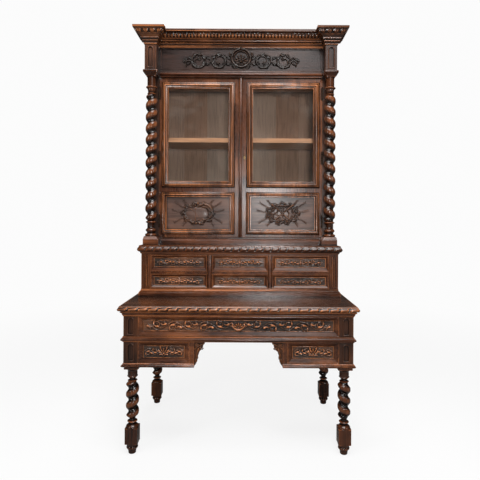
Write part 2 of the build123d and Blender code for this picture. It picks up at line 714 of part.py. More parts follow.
# ---------------------------------------------------------------- columns
PLINTH_Z1 = 1108
COLUMN_Z0 = 1126
COLUMN_TWIST_Z0, COLUMN_TWIST_Z1, COLUMN_PITCH = 1219, 1964, 67.4
CAPITAL_HALF, CAPITAL_FORWARD = 43, 6


def plinth(side):
    centre = (side * sum(PLINTH_X) / 2, (BLOCK_Y[0] - 4 + CABINET_FRONT) / 2)
    width, depth = PLINTH_X[1] - PLINTH_X[0], CABINET_FRONT - BLOCK_Y[0] + 4
    with BuildPart() as piece:
        block(sided(*PLINTH_X, side), (BLOCK_Y[0] - 4, CABINET_FRONT), (RISER_TOP_Z, PLINTH_Z1))
        with BuildSketch(Plane.XY.offset(PLINTH_Z1)) as foot:
            with Locations(centre):
                Rectangle(width, depth)
        with BuildSketch(Plane.XY.offset(COLUMN_Z0)) as seat:
            with Locations((side * COLUMN_X, COLUMN_Y)):
                Rectangle(68, 72)
        loft([foot.sketch, seat.sketch], ruled=True)
    return piece.part


def column(side):
    x, y = side * COLUMN_X, COLUMN_Y
    with BuildPart() as piece:
        turned(
            x, y,
            [(32, COLUMN_Z0), (32, 1140, 34), (24, 1142), (23, 1150), (23, 1172, 31), (18, 1176),
             (17, 1194, 15), (22, 1203), (22, 1216, 32), (19, COLUMN_TWIST_Z0)],
        )
        twist(x, y, COLUMN_TWIST_Z0, COLUMN_TWIST_Z1, COLUMN_PITCH, BINE_R, BINE_THROW, side == LEFT)
        turned(
            x, y,
            [(19, COLUMN_TWIST_Z1), (20, 1972, 26), (16, 1976), (24, 1996, 24), (28, 2002), (28, 2011, 34),
             (25, 2013), (25, 2070)],
        )
        for (low_half, low_z), (high_half, high_z) in pairwise(
            [(27, 2066), (30, 2076), (38, 2086), (CAPITAL_HALF, 2088), (CAPITAL_HALF, CAPITAL_Z)]
        ):
            faces = []
            for half, z in ((low_half, low_z), (high_half, high_z)):
                front, back = y - half - CAPITAL_FORWARD, min(y + half, FRIEZE_Y[0])
                with BuildSketch(Plane.XY.offset(z), mode=Mode.PRIVATE) as outline:
                    with Locations((x, (front + back) / 2)):
                        Rectangle(2 * half, back - front)
                faces.append(outline.sketch)
            loft(faces, ruled=True)
    return piece.part


write("column_plinths", plinth(LEFT), plinth(RIGHT))
write("column_left", column(LEFT))
write("column_right", column(RIGHT))

# ---------------------------------------------------------------- doors
MEETING_X = (-12.5, -10.5)              # free edges of the left and of the right door
FRAME_X = (61, 448)                     # inner edges of a door's two upright stiles
DOOR_Y = STILE_Y
GLASS_X, GLASS_Z = (73, 436), (1456, 2014)
PANEL_X, PANEL_Z = (65, 444), (1167, 1360)
GLASS_REBATE, PANEL_REBATE = 12, 4
REBATE_Y = 38
GLASS_THICK, PANEL_THICK = 4, 14

# Each point is (distance out from the opening's edge, y).
BOLECTION = [
    (0, REBATE_Y), (0, 34), (5, 30), (11, 31), (13, 27), (20, 23), (27, 23.5), (32, 27), (35, 28.5),
    (36, CABINET_FRONT), (GLASS_REBATE, CABINET_FRONT), (GLASS_REBATE, REBATE_Y),
]
PANEL_MOULDING = [
    (0, REBATE_Y), (0, 33), (4, 30), (8, 29.5), (10, 25), (15, 23), (20, 23.5), (24, 28),
    (27, CABINET_FRONT), (PANEL_REBATE, CABINET_FRONT), (PANEL_REBATE, REBATE_Y),
]


def framing(x, z, profile):
    """Four strips of moulding round an opening, mitred at its corners."""
    centre = Vector(sum(x) / 2, 0, sum(z) / 2)
    half = {0: (x[1] - x[0]) / 2, 2: (z[1] - z[0]) / 2}
    reach = max(point[0] for point in profile)
    strips = []
    for across, along_axis in ((0, 2), (2, 0)):
        for sign in (-1, 1):
            outward = Vector(*[sign if i == across else 0 for i in range(3)])
            along = outward.cross(Vector(0, 1, 0))
            run = half[along_axis] + reach
            middle = centre + outward * half[across]
            with BuildPart() as strip:
                with BuildSketch(Plane(middle - along * run, x_dir=outward, z_dir=along)) as section:
                    with BuildLine():
                        Polyline(*profile, close=True)
                    make_face()
                extrude(section.sketch, amount=2 * run)
                for end in (-1, 1):
                    corner = middle + along * (end * half[along_axis])
                    split(
                        bisect_by=Plane(corner, x_dir=(0, 1, 0), z_dir=along * end - outward),
                        keep=Keep.BOTTOM,
                    )
            strips.append(strip.part)
    return strips


def door_frame(side):
    """The stiles and rails of one door, the mouldings round its two openings and the glazing beads."""
    free_edge = MEETING_X[0 if side == LEFT else 1]
    inner = sorted((free_edge, side * FRAME_X[0]))
    outer = sided(FRAME_X[1], DOOR_HALF_W, side)
    opening = sided(*FRAME_X, side)
    rails = (
        (DOOR_Z0, PANEL_Z[0] - PANEL_REBATE),
        (PANEL_Z[1] + PANEL_REBATE, GLASS_Z[0] - GLASS_REBATE),
        (GLASS_Z[1] + GLASS_REBATE, DOOR_Z1),
    )
    bead_y = (REBATE_Y + GLASS_THICK, DOOR_Y[1] - 4)
    bead_w = 9
    glazed = (GLASS_Z[0] - GLASS_REBATE, GLASS_Z[1] + GLASS_REBATE)
    beads = [board((x, x + bead_w), bead_y, glazed) for x in (opening[0], opening[1] - bead_w)]
    beads += [
        board((opening[0] + bead_w, opening[1] - bead_w), bead_y, (z, z + bead_w))
        for z in (glazed[0], glazed[1] - bead_w)
    ]
    return (
        board(inner, DOOR_Y, (DOOR_Z0, DOOR_Z1)),
        board(outer, DOOR_Y, (DOOR_Z0, DOOR_Z1)),
        *[board(opening, DOOR_Y, rail) for rail in rails],
        *framing(sided(*GLASS_X, side), GLASS_Z, BOLECTION),
        *framing(sided(*PANEL_X, side), PANEL_Z, PANEL_MOULDING),
        *beads,
    )


# The half-round strip that is planted down the free edge of the right door.
ASTRAGAL = [
    (MEETING_X[1], CABINET_FRONT), (MEETING_X[1], 27), (-7.5, 25.5), (-5, 21), (0, 19, -3, 19.6),
    (5, 21, 3, 19.6), (7.5, 25.5), (10.5, 27), (10.5, CABINET_FRONT),
]
with BuildPart() as astragal:
    with BuildSketch(Plane.XY.offset(DOOR_Z0)) as astragal_section:
        with BuildLine():
            for point, next_point in pairwise(ASTRAGAL + ASTRAGAL[:1]):
                if len(next_point) == 4:
                    ThreePointArc(point[:2], next_point[2:], next_point[:2])
                else:
                    Line(point[:2], next_point[:2])
        make_face()
    extrude(astragal_section.sketch, amount=DOOR_Z1 - DOOR_Z0)

write("door_left_frame", *door_frame(LEFT))
write("door_right_frame", *door_frame(RIGHT), astragal.part)
EASE = 0.5                              # play of the glass and the panel in their rebates
for side, name in ((LEFT, "left"), (RIGHT, "right")):
    held_x = sided(FRAME_X[0] + EASE, FRAME_X[1] - EASE, side)
    write(
        f"door_{name}_glass",
        board(
            held_x, (REBATE_Y, REBATE_Y + GLASS_THICK),
            (GLASS_Z[0] - GLASS_REBATE + EASE, GLASS_Z[1] + GLASS_REBATE - EASE),
        ),
    )
    write(
        f"door_{name}_panel",
        board(
            held_x, (REBATE_Y, REBATE_Y + PANEL_THICK),
            (PANEL_Z[0] - PANEL_REBATE + EASE, PANEL_Z[1] + PANEL_REBATE - EASE),
        ),
    )

# Hinges: three to a door. The case leaf carries the pin and the outer knuckles, and the door leaf
# the middle knuckle. Both leaves lie in the gap beside the door.
HINGE_X, HINGE_Y = DOOR_HALF_W + GAP / 2, 25
HINGE_Z = (1215, 1598, 1985)
PIN_R, PIN_CLEAR = 3, 0.05
KNUCKLE_R, KNUCKLE_H, KNUCKLE_SLACK = 5, 22, 0.3
LEAF_THICK, LEAF_DEPTH = 0.6, 24


def knuckle(side, z0, height, bored):
    with Locations((side * HINGE_X, HINGE_Y, z0 + height / 2)):
        Cylinder(KNUCKLE_R, height)
        if bored:
            Cylinder(PIN_R + PIN_CLEAR, height, mode=Mode.SUBTRACT)


def leaf_plate(side, edge, z0, height):
    """The flat of a leaf. It stands on the pin's axis plane and reaches back along the door's edge."""
    x = sorted((edge, edge - LEAF_THICK if edge > HINGE_X else edge + LEAF_THICK))
    block(
        sided(*x, side), (HINGE_Y + PIN_R + GAP / 2, HINGE_Y + PIN_R + LEAF_DEPTH), (z0, z0 + height)
    )


def door_leaf(side, z):
    with BuildPart() as leaf:
        leaf_plate(side, DOOR_HALF_W, z - KNUCKLE_H / 2, KNUCKLE_H)
        knuckle(side, z - KNUCKLE_H / 2, KNUCKLE_H, True)
    return leaf.part


def case_leaf(side, z):
    reach = KNUCKLE_H / 2 + KNUCKLE_SLACK
    with BuildPart() as leaf:
        for z0 in (z - reach - KNUCKLE_H, z + reach):
            leaf_plate(side, CASE_STILE_X[0], z0, KNUCKLE_H)
            knuckle(side, z0, KNUCKLE_H, False)
        with Locations((side * HINGE_X, HINGE_Y, z)):
            Cylinder(PIN_R, 2 * reach)
        for end in (-1, 1):
            with Locations((side * HINGE_X, HINGE_Y, z + end * (reach + KNUCKLE_H + 2))):
                Sphere(4)
    return leaf.part


write("hinges_case", *[case_leaf(side, z) for side in (LEFT, RIGHT) for z in HINGE_Z])
write("hinges_door_left", *[door_leaf(LEFT, z) for z in HINGE_Z])
write("hinges_door_right", *[door_leaf(RIGHT, z) for z in HINGE_Z])

# The lock: an oval escutcheon on the front of the right door's stile and the lock case behind it.
LOCK_X, LOCK_Z = 24, 1598
with BuildPart() as escutcheon:
    with BuildSketch(Plane((LOCK_X, CABINET_FRONT, LOCK_Z), x_dir=(1, 0, 0), z_dir=(0, -1, 0))) as plate:
        Ellipse(6, 11)
        with Locations((0, 2.5)):
            Circle(1.9, mode=Mode.SUBTRACT)
        with Locations((0, -1.5)):
            Rectangle(1.7, 7, mode=Mode.SUBTRACT)
    extrude(plate.sketch, amount=2)
write("door_lock", escutcheon.part, board((-4, 46), (DOOR_Y[1], DOOR_Y[1] + 10), (LOCK_Z - 35, LOCK_Z + 35)))
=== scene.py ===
import math
from functools import cache

import bpy
import numpy as np
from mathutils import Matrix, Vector


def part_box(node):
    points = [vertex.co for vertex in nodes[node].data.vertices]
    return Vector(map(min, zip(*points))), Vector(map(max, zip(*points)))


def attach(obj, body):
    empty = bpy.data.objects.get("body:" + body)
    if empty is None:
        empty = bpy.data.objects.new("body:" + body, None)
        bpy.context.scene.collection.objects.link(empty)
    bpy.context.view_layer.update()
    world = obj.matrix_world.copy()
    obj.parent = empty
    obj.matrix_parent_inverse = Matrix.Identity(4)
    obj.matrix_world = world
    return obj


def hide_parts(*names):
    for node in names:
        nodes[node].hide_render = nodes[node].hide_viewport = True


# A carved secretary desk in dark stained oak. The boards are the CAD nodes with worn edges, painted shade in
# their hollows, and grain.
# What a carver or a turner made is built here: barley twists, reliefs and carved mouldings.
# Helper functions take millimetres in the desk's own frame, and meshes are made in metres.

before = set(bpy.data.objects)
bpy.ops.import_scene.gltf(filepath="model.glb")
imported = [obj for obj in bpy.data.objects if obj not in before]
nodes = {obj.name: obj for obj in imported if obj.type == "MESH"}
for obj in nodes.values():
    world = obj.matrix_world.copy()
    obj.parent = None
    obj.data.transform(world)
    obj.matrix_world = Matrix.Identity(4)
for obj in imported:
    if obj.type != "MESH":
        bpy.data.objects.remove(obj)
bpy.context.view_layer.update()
rng = np.random.default_rng(11)
MM = 0.001
LEFT, RIGHT = -1, 1
SIDES = ((LEFT, "left"), (RIGHT, "right"))


def span(node):
    """Lowest and highest corner of a CAD node, in millimetres."""
    low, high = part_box(node)
    return np.array(low) / MM, np.array(high) / MM


# ------------ node trees for the materials
class Shader:
    """A small helper that adds and joins the nodes of one material."""

    def __init__(self, name):
        self.material = bpy.data.materials.new(name)
        self.material.use_nodes = True
        self.tree = self.material.node_tree
        self.surface = self.tree.nodes["Principled BSDF"]

    def add(self, kind, inputs=(), **settings):
        node = self.tree.nodes.new(f"ShaderNode{kind}")
        for key, value in settings.items():
            setattr(node, key, value)
        for key, value in dict(inputs).items():
            self.feed(node.inputs[key], value)
        return node

    def feed(self, socket, value):
        if isinstance(value, bpy.types.NodeSocket):
            self.tree.links.new(value, socket)
        else:
            socket.default_value = value

    def math(self, operation, first, second=0.0, clamp=False):
        node = self.add("Math", {0: first, 1: second}, operation=operation, use_clamp=clamp)
        return node.outputs[0]

    def spread(self, value, low, high, out_low=0.0, out_high=1.0):
        """Maps a range of values to another range, smoothly and with clamping."""
        node = self.add(
            "MapRange",
            {"Value": value, "From Min": low, "From Max": high, "To Min": out_low, "To Max": out_high},
            interpolation_type="SMOOTHSTEP",
        )
        return node.outputs[0]

    def mix(self, factor, first, second):
        inputs = {"Factor": factor, "A": first, "B": second}
        return self.add("Mix", inputs, data_type="RGBA").outputs["Result"]

    def noise(self, coords, scale, detail=4.0, roughness=0.55, distortion=0.0):
        settings = {"Vector": coords, "Scale": scale, "Detail": detail, "Distortion": distortion}
        return self.add("TexNoise", {**settings, "Roughness": roughness}).outputs["Fac"]

    def place(self):
        return self.add("TexCoord").outputs["Object"]

    def openness(self, distance, inside=False):
        """Ambient occlusion, which is low in a hollow or, from inside the wood, low on a rim."""
        inputs = {"Distance": distance}
        return self.add("AmbientOcclusion", inputs, samples=6, inside=inside).outputs["AO"]

    def paint(self, settings):
        """Gives the surface its values: numbers, colours or the outputs of other nodes."""
        for key, value in settings.items():
            self.feed(self.surface.inputs[key], value)

    def blend(self, share, first, second):
        """Puts a blend of two shaders on the material's output."""
        both = self.add("MixShader", {0: share, 1: first, 2: second})
        self.tree.links.new(both.outputs[0], self.tree.nodes["Material Output"].inputs["Surface"])


SQUEEZE = 0.06  # of the coordinates along the grain


def grain_coords(shader, along):
    """Coordinates squeezed along one axis, so that noise in them runs as wood grain does."""
    place = shader.place()
    scale = [SQUEEZE if axis == along else 1.0 for axis in "xyz"]
    return place, shader.add("Mapping", {"Vector": place, "Scale": scale}).outputs[0]


WOODS = {
    # name: painted shade colour for the hollows, body and worn edge (linear colours in thousandths),
    # roughness, gloss, tone of the grain
    "oak": ((4, 1.6, 1), (74, 22.8, 9.8), (500, 170, 58), 0.26, 0.2, 0.22),
    "desk_oak": ((3, 1.3, 0.9), (54, 17.2, 7.8), (540, 180, 60), 0.26, 0.2, 0.22),
    "post": ((3, 1.4, 1), (34, 12.5, 6.5), (260, 90, 34), 0.32, 0.1, 0.3),
    "panel": ((5, 2.5, 1.8), (28, 14, 11.5), (160, 60, 26), 0.31, 0.15, 0.35),
    "door_panel": ((8, 4, 3), (78, 44, 34), (300, 130, 70), 0.36, 0.1, 0.35),
    "field": ((2, 1.2, 1), (46, 33, 27), (700, 240, 80), 0.22, 0.4, 0.3),
    "trophy": ((4, 2, 1.4), (30, 15.5, 10.5), (300, 125, 60), 0.3, 0.1, 0.3),
    "carved": ((3, 1.5, 1), (32, 12, 6.5), (580, 200, 66), 0.24, 0.22, 0.3),
    "dark": ((2, 1.2, 1), (11, 6.2, 4.5), (90, 42, 24), 0.34, 0.15, 0.3),
    "turned": ((1.2, 0.6, 0.4), (38, 12, 5.2), (260, 82, 28), 0.16, 0.3, 0.3),
    "polished": ((8, 3.5, 2), (45, 18.5, 10.5), (240, 90, 34), 0.22, 0.4, 0.3),
    "inner": ((110, 66, 46), (360, 235, 175), (400, 270, 190), 0.6, 0.0, 0.72),
    "inner_brown": ((100, 56, 36), (310, 185, 125), (400, 250, 170), 0.6, 0.0, 0.7),
    "inner_grey": ((110, 75, 58), (340, 250, 200), (420, 310, 230), 0.6, 0.0, 0.75),
    "shelf": ((200, 100, 55), (620, 330, 185), (750, 420, 250), 0.5, 0.0, 0.7),
    "lining": ((80, 45, 23), (320, 190, 100), (450, 300, 170), 0.65, 0.0, 0.6),
}


SHADE_REACH, RIM_REACH = 0.022, 0.005  # metres over which painted shade darkens the boards' hollows, and over which their rims wear
AMBER = 0.28                            # share of the worn colour in the warm patches
HOLLOW_SHADE_SHARE = 0.92                             # share of the painted shade colour in the deepest hollows


@cache
def wood(kind, along, carved=False):
    """Stained oak with grain along one axis, with painted shade in its hollows. Carved pieces carry their
    own wear and painted shade in a vertex attribute.
    """
    *colours, roughness, gloss, grain_tone = WOODS[kind]
    hollow_shade_colour, body, worn = [[value / 1000 for value in colour] for colour in colours]
    shader = Shader(f"{kind}_{along}{'_carved' if carved else ''}")
    place, grain = grain_coords(shader, along)
    streaks = shader.noise(grain, 95, 6, 0.62, 0.35)
    pores = shader.noise(grain, 420, 3, 0.5)
    clouds = shader.noise(place, 5.5, 3, 0.5)
    bands = shader.noise(grain, 22, 3, 0.5, 0.4)
    dark_grain = [grain_tone * c for c in body]
    tone = shader.mix(shader.spread(streaks, 0.34, 0.6), (*dark_grain, 1), (*body, 1))
    amber = [(1 - AMBER) * b + AMBER * w for b, w in zip(body, worn)]
    warm_bands = shader.spread(bands, 0.4, 0.65, 0.25, 0.9)
    warmth = shader.math("MULTIPLY", shader.spread(clouds, 0.38, 0.68), warm_bands)
    tone = shader.mix(warmth, tone, (*amber, 1))
    # shade is painted shade in the hollows: from the vertex attribute on carved pieces, and from ambient
    # occlusion on boards. edge is wear on high points and rims.
    if carved:
        wear_and_shade = shader.add("Attribute", attribute_name="wear_and_shade").outputs["Fac"]
        shade = shader.spread(wear_and_shade, 0.46, 0.14)
        edge = shader.spread(wear_and_shade, 0.52, 1.0)
    else:
        shade = shader.spread(shader.openness(SHADE_REACH), 0.92, 0.5)
        edge = shader.spread(shader.openness(RIM_REACH, inside=True), 0.8, 0.4)
    rubbed = shader.math("MULTIPLY", edge, shader.spread(bands, 0.3, 0.62, 0.12, 0.85))
    rubbed = shader.math("MULTIPLY", rubbed, shader.spread(streaks, 0.3, 0.6, 0.45, 1.0))
    tone = shader.mix(rubbed, tone, (*worn, 1))
    # paints the hollow shade colour wherever shade is high
    tone = shader.mix(shader.math("MULTIPLY", shade, HOLLOW_SHADE_SHARE), tone, (*hollow_shade_colour, 1))
    height = shader.math("ADD", shader.math("MULTIPLY", streaks, 0.6), shader.math("MULTIPLY", pores, 0.4))
    bump = shader.add("Bump", {"Strength": 0.13, "Distance": 0.0006, "Height": height})
    shader.paint({
        "Base Color": tone, "Roughness": shader.spread(pores, 0.3, 0.7, roughness - 0.05, roughness + 0.08),
        "Specular IOR Level": 0.3, "Coat Weight": gloss, "Coat Roughness": 0.2, "Normal": bump.outputs[0],
    })
    return shader.material


def metal(name, bright, dull, low_rough, high_rough):
    shader = Shader(name)
    stain = shader.noise(shader.place(), 160, 4)
    tone = shader.mix(shader.spread(stain, 0.35, 0.7), (*bright, 1), (*dull, 1))
    tone = shader.mix(shader.spread(shader.openness(0.004), 0.8, 0.3), tone, (0.02, 0.013, 0.008, 1))
    rough = shader.spread(stain, 0.3, 0.7, low_rough, high_rough)
    shader.paint({"Base Color": tone, "Roughness": rough, "Metallic": 1.0})
    return shader.material


def glass():
    """Old clear window glass: faintly wavy, and dusty enough to catch some light."""
    shader = Shader("old_glass")
    place = shader.place()
    waves = shader.noise(place, 5, 1)
    smears = shader.spread(shader.noise(place, 9, 3, 0.5, 0.8), 0.45, 0.75, 0.0, 0.035)
    bump = shader.add("Bump", {"Strength": 0.05, "Distance": 0.001, "Height": waves})
    shader.paint({
        "Base Color": (0.45, 0.42, 0.38, 1), "Roughness": shader.spread(waves, 0.3, 0.7, 0.03, 0.1),
        "Normal": bump.outputs[0],
    })
    clear = shader.add("BsdfTransparent", {"Color": (0.96, 0.95, 0.93, 1)})
    fresnel = shader.add("LayerWeight", {"Blend": 0.25}).outputs["Fresnel"]
    share = shader.math("ADD", shader.math("MULTIPLY", fresnel, 0.7), smears, clamp=True)
    shader.blend(share, clear.outputs[0], shader.surface.outputs[0])
    return shader.material


BRASS = metal("aged_brass", (0.3, 0.19, 0.07), (0.12, 0.075, 0.03), 0.3, 0.5)
IRON = metal("dark_iron", (0.05, 0.032, 0.022), (0.02, 0.013, 0.009), 0.4, 0.6)
PANE = glass()


# ------------ CAD boards
def face_islands(mesh):
    """The solid that each face of a CAD mesh belongs to, found by joining vertices in the same place."""
    corners = np.empty(len(mesh.vertices) * 3)
    mesh.vertices.foreach_get("co", corners)
    _, merged = np.unique(np.round(corners.reshape(-1, 3) * 1e5), axis=0, return_inverse=True)
    merged = merged.ravel()
    parent = list(range(merged.max() + 1))

    def root(i):
        while parent[i] != i:
            parent[i] = parent[parent[i]]
            i = parent[i]
        return i

    for polygon in mesh.polygons:
        first = root(merged[polygon.vertices[0]])
        for vertex in polygon.vertices[1:]:
            parent[root(merged[vertex])] = first
    return [root(merged[polygon.vertices[0]]) for polygon in mesh.polygons]


PLANKS = ("inner", "inner_brown", "inner_grey", "inner", "inner_grey", "inner_brown")
EDGE = 0.8  # width of the boards' softened edges


def dress(node, kind, along=None):
    """Gives a CAD node its wood and softens its edges. Each board's grain runs along its longest side,
    unless an axis is given. Boards of inner wood differ in tone."""
    piece = nodes[node]
    mesh = piece.data
    mesh.materials.clear()
    members, slots = {}, {}
    for polygon, island in zip(mesh.polygons, face_islands(mesh)):
        members.setdefault(island, []).append(polygon)
    for number, polygons in enumerate(members.values()):
        tone = PLANKS[number % len(PLANKS)] if kind == "inner" else kind
        points = np.array([mesh.vertices[v].co for p in polygons for v in p.vertices])
        axis = along or "xyz"[int(np.argmax(np.ptp(points, axis=0)))]
        if (tone, axis) not in slots:
            slots[tone, axis] = len(mesh.materials)
            mesh.materials.append(wood(tone, axis))
        for polygon in polygons:
            polygon.material_index = slots[tone, axis]
    weld = piece.modifiers.new("weld", "WELD")
    weld.merge_threshold = 0.00002
    soften = piece.modifiers.new("soften", "BEVEL")
    soften.width = EDGE * MM
    soften.segments = 2
    soften.limit_method = "ANGLE"
    soften.angle_limit = math.radians(32)
    soften.miter_outer = "MITER_ARC"


def repaint(node, kind, along, inside):
    """Gives another wood to the faces of a node whose corners all pass a test of place."""
    mesh = nodes[node].data
    mesh.materials.append(wood(kind, along))
    for polygon in mesh.polygons:
        if all(inside(mesh.vertices[v].co) for v in polygon.vertices):
            polygon.material_index = len(mesh.materials) - 1


# ------------ meshes from grids
def new_object(name, data):
    thing = bpy.data.objects.new(name, data)
    bpy.context.scene.collection.objects.link(thing)
    return thing


def new_piece(name, vertices, faces, wear_and_shade, surface, body):
    """Makes one object from points in millimetres and lets it ride on a body."""
    mesh = bpy.data.meshes.new(name)
    mesh.from_pydata((np.asarray(vertices) * MM).tolist(), [], faces)
    mesh.validate()
    # the attribute holds wear on high points and painted shade in the hollows
    attribute = mesh.attributes.new("wear_and_shade", "FLOAT", "POINT")
    attribute.data.foreach_set("value", np.clip(wear_and_shade, 0, 1).astype(np.float32))
    mesh.materials.append(surface)
    mesh.shade_smooth()
    mesh.set_sharp_from_angle(angle=math.radians(50))
    piece = new_object(name, mesh)
    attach(piece, body)
    return piece


def tube_faces(rings, around, base=0, flip=False):
    """The faces between rings of points that follow each other, and a cap on each end."""
    faces = []
    for start in range(base, base + (rings - 1) * around, around):
        for j in range(around):
            k = (j + 1) % around
            faces.append((start + j, start + k, start + around + k, start + around + j))
    last = base + (rings - 1) * around
    faces.append(tuple(range(base, base + around))[::-1])
    faces.append(tuple(range(last, last + around)))
    return [face[::-1] for face in faces] if flip else faces


def blurred(values, cells):
    """A box blur, twice, over a number of cells each way."""
    for _ in range(2):
        for axis in (0, 1):
            padded = np.pad(values, [(cells, cells) if a == axis else (0, 0) for a in (0, 1)], mode="edge")
            total = np.cumsum(padded, axis=axis)
            total = np.insert(total, 0, 0, axis=axis)
            width = 2 * cells + 1
            high = np.take(total, range(width, total.shape[axis]), axis=axis)
            low = np.take(total, range(0, total.shape[axis] - width), axis=axis)
            values = (high - low) / width
    return values


# ------------ turning: columns and legs
def ramp(values, low, high):
    t = np.clip((values - low) / (high - low), 0, 1)
    return t * t * (3 - 2 * t)


AROUND = 72          # points round a turned post
TWIST_END = 14       # a twist runs out over this length
CORNER_CUT = 1.36    # how far a square's corner reaches, as a share of half its side


def turning(name, centre, outline, twist, hand, square, lean=None, row=1.6):
    """A turned post. outline is (z, radius) or (z, radius, bulge) from the foot up, where bulge swells the
    stretch that leads to that station. twist is (z0, z1, pitch, outer radius, depth). square is the
    stretches of z that are square, where radius is half the side. lean is (z, y), a shift above z."""
    rows, radii = [outline[0][0]], [outline[0][1]]
    for (z0, r0, *_), (z1, r1, *swell) in zip(outline, outline[1:]):
        bulge = swell[0] if swell else 0
        count = max(1, round(abs(z1 - z0) / row)) if (bulge or z1 - z0 > 4) else 1
        for t in np.linspace(0, 1, count + 1)[1:]:
            rows.append(z0 + (z1 - z0) * t)
            radii.append(r0 + (r1 - r0) * t + bulge * math.sin(math.pi * t))
    z = np.array(rows)[:, None]
    radius = np.repeat(np.array(radii)[:, None], AROUND, axis=1)
    angle = np.linspace(0, 2 * math.pi, AROUND, endpoint=False)[None, :]

    z0, z1, pitch, outer, depth = twist
    twisted = (z > z0) & (z < z1)
    groove = ((1 + np.cos(angle - hand * 2 * math.pi * (z - z0) / pitch)) / 2) ** 1.7
    fade = np.clip(np.minimum(z - z0, z1 - z) / TWIST_END, 0, 1) ** 0.7
    radius = np.where(twisted, radius * (1 - fade) + (outer - depth * groove) * fade, radius)
    for low, high in square:
        flat = radius / np.maximum(np.abs(np.cos(angle)), np.abs(np.sin(angle)))
        flat = np.minimum(flat, radius * CORNER_CUT)
        radius = np.where((z >= low) & (z <= high), flat, radius)

    # wear on crests and beads; low values paint shade into the twist's grooves and into the coves
    wear_and_shade = np.where(twisted, 0.84 - 1.25 * groove, 0.5 + 0.11 * (radius - blurred(radius, 4)))
    from_corner = np.abs((angle % (math.pi / 2)) - math.pi / 4)
    for low, high in square:
        worn = 0.47 + 0.4 * np.exp(-((from_corner / 0.07) ** 2))
        wear_and_shade = np.where((z >= low + 3) & (z <= high - 3), worn, wear_and_shade)
    shift = 0 if lean is None else lean[1] * ramp(z, lean[0] - 12, lean[0])
    x = centre[0] + radius * np.cos(angle)
    y = centre[1] + radius * np.sin(angle) + shift
    vertices = np.stack(np.broadcast_arrays(x, y, z), axis=-1).reshape(-1, 3)
    faces = tube_faces(len(rows), AROUND)
    return new_piece(name, vertices, faces, wear_and_shade.ravel(), wood("turned", "z", True), "case")


LEG = [
    (0, 17), (2, 19), (23, 21.5), (24, 25), (41, 25, 5), (43, 29), (56, 33), (66, 33), (128, 33), (138, 33),
    (152, 24, 3), (158, 15), (161, 15), (176, 15, 11), (180, 14), (188, 18), (376, 18), (377, 18),
    (385, 18, 7), (389, 14), (403, 26), (406, 26, 1.5), (408, 25), (425, 25), (444, 34, -4), (446, 37),
    (447.5, 38), (458.5, 38), (460, 37),
]
LEG_TWIST = (188, 376, 59, 33.5, 13)
COLUMN = [
    (1126, 32), (1140, 32, 2.5), (1142, 25), (1150, 23), (1172, 23, 8), (1176, 18), (1194, 17, -2.5),
    (1203, 22), (1216, 22, 9), (1219, 20), (1964, 20), (1972, 20, 5.5), (1976, 16), (1996, 24, 1.5),
    (2002, 28), (2011, 28, 5), (2013, 25), (2066, 25), (2067, 27), (2086, 38, -2.5), (2087, 41), (2089, 43),
    (2098, 43), (2100, 41.5),
]
COLUMN_TWIST = (1219, 1964, 67.4, 33.8, 13)
COLUMN_RADIUS, COLUMN_LEAN = 43, 6  # of its head, which stands a little in front of its shaft


def turnings():
    for side, word in SIDES:
        for node in (f"leg_front_{word}", f"leg_rear_{word}"):
            centre = sum(span(node)) / 2
            piece = turning(
                f"carved_{node}", centre[:2], LEG, LEG_TWIST, -side, square=((56, 138), (447, 460)), row=1.5
            )
            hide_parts(node)
        node = f"column_{word}"
        low, high = span(node)
        centre = ((low[0] + high[0]) / 2, low[1] + COLUMN_LEAN + COLUMN_RADIUS)
        piece = turning(
            f"carved_{node}", centre, COLUMN, COLUMN_TWIST, -side, square=((2067, 2100),),
            lean=(2086, -COLUMN_LEAN),
        )
        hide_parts(node)


# ------------ carved mouldings
def rounded(profile, step=1.6):
    """Samples an outline of (out, z) and (out, z, bulge) points. bulge swells the stretch that ends there.
    Returns the samples, the outward normal at each and the distance along the outline."""
    points = [np.array(profile[0][:2], float)]
    for start, end in zip(profile, profile[1:]):
        a, b = np.array(start[:2], float), np.array(end[:2], float)
        length = np.linalg.norm(b - a)
        bulge = end[2] if len(end) > 2 else 0
        count = max(1, round(length / step)) if bulge or length > 12 else 1
        normal = np.array([b[1] - a[1], a[0] - b[0]]) / length
        for t in np.linspace(0, 1, count + 1)[1:]:
            points.append(a + (b - a) * t + normal * bulge * math.sin(math.pi * t))
    points = np.array(points)
    slope = np.gradient(points, axis=0)
    normals = np.stack([slope[:, 1], -slope[:, 0]], axis=1)
    normals /= np.linalg.norm(normals, axis=1)[:, None]
    travel = np.concatenate([[0], np.cumsum(np.linalg.norm(np.diff(points, axis=0), axis=1))])
    return points, normals, travel


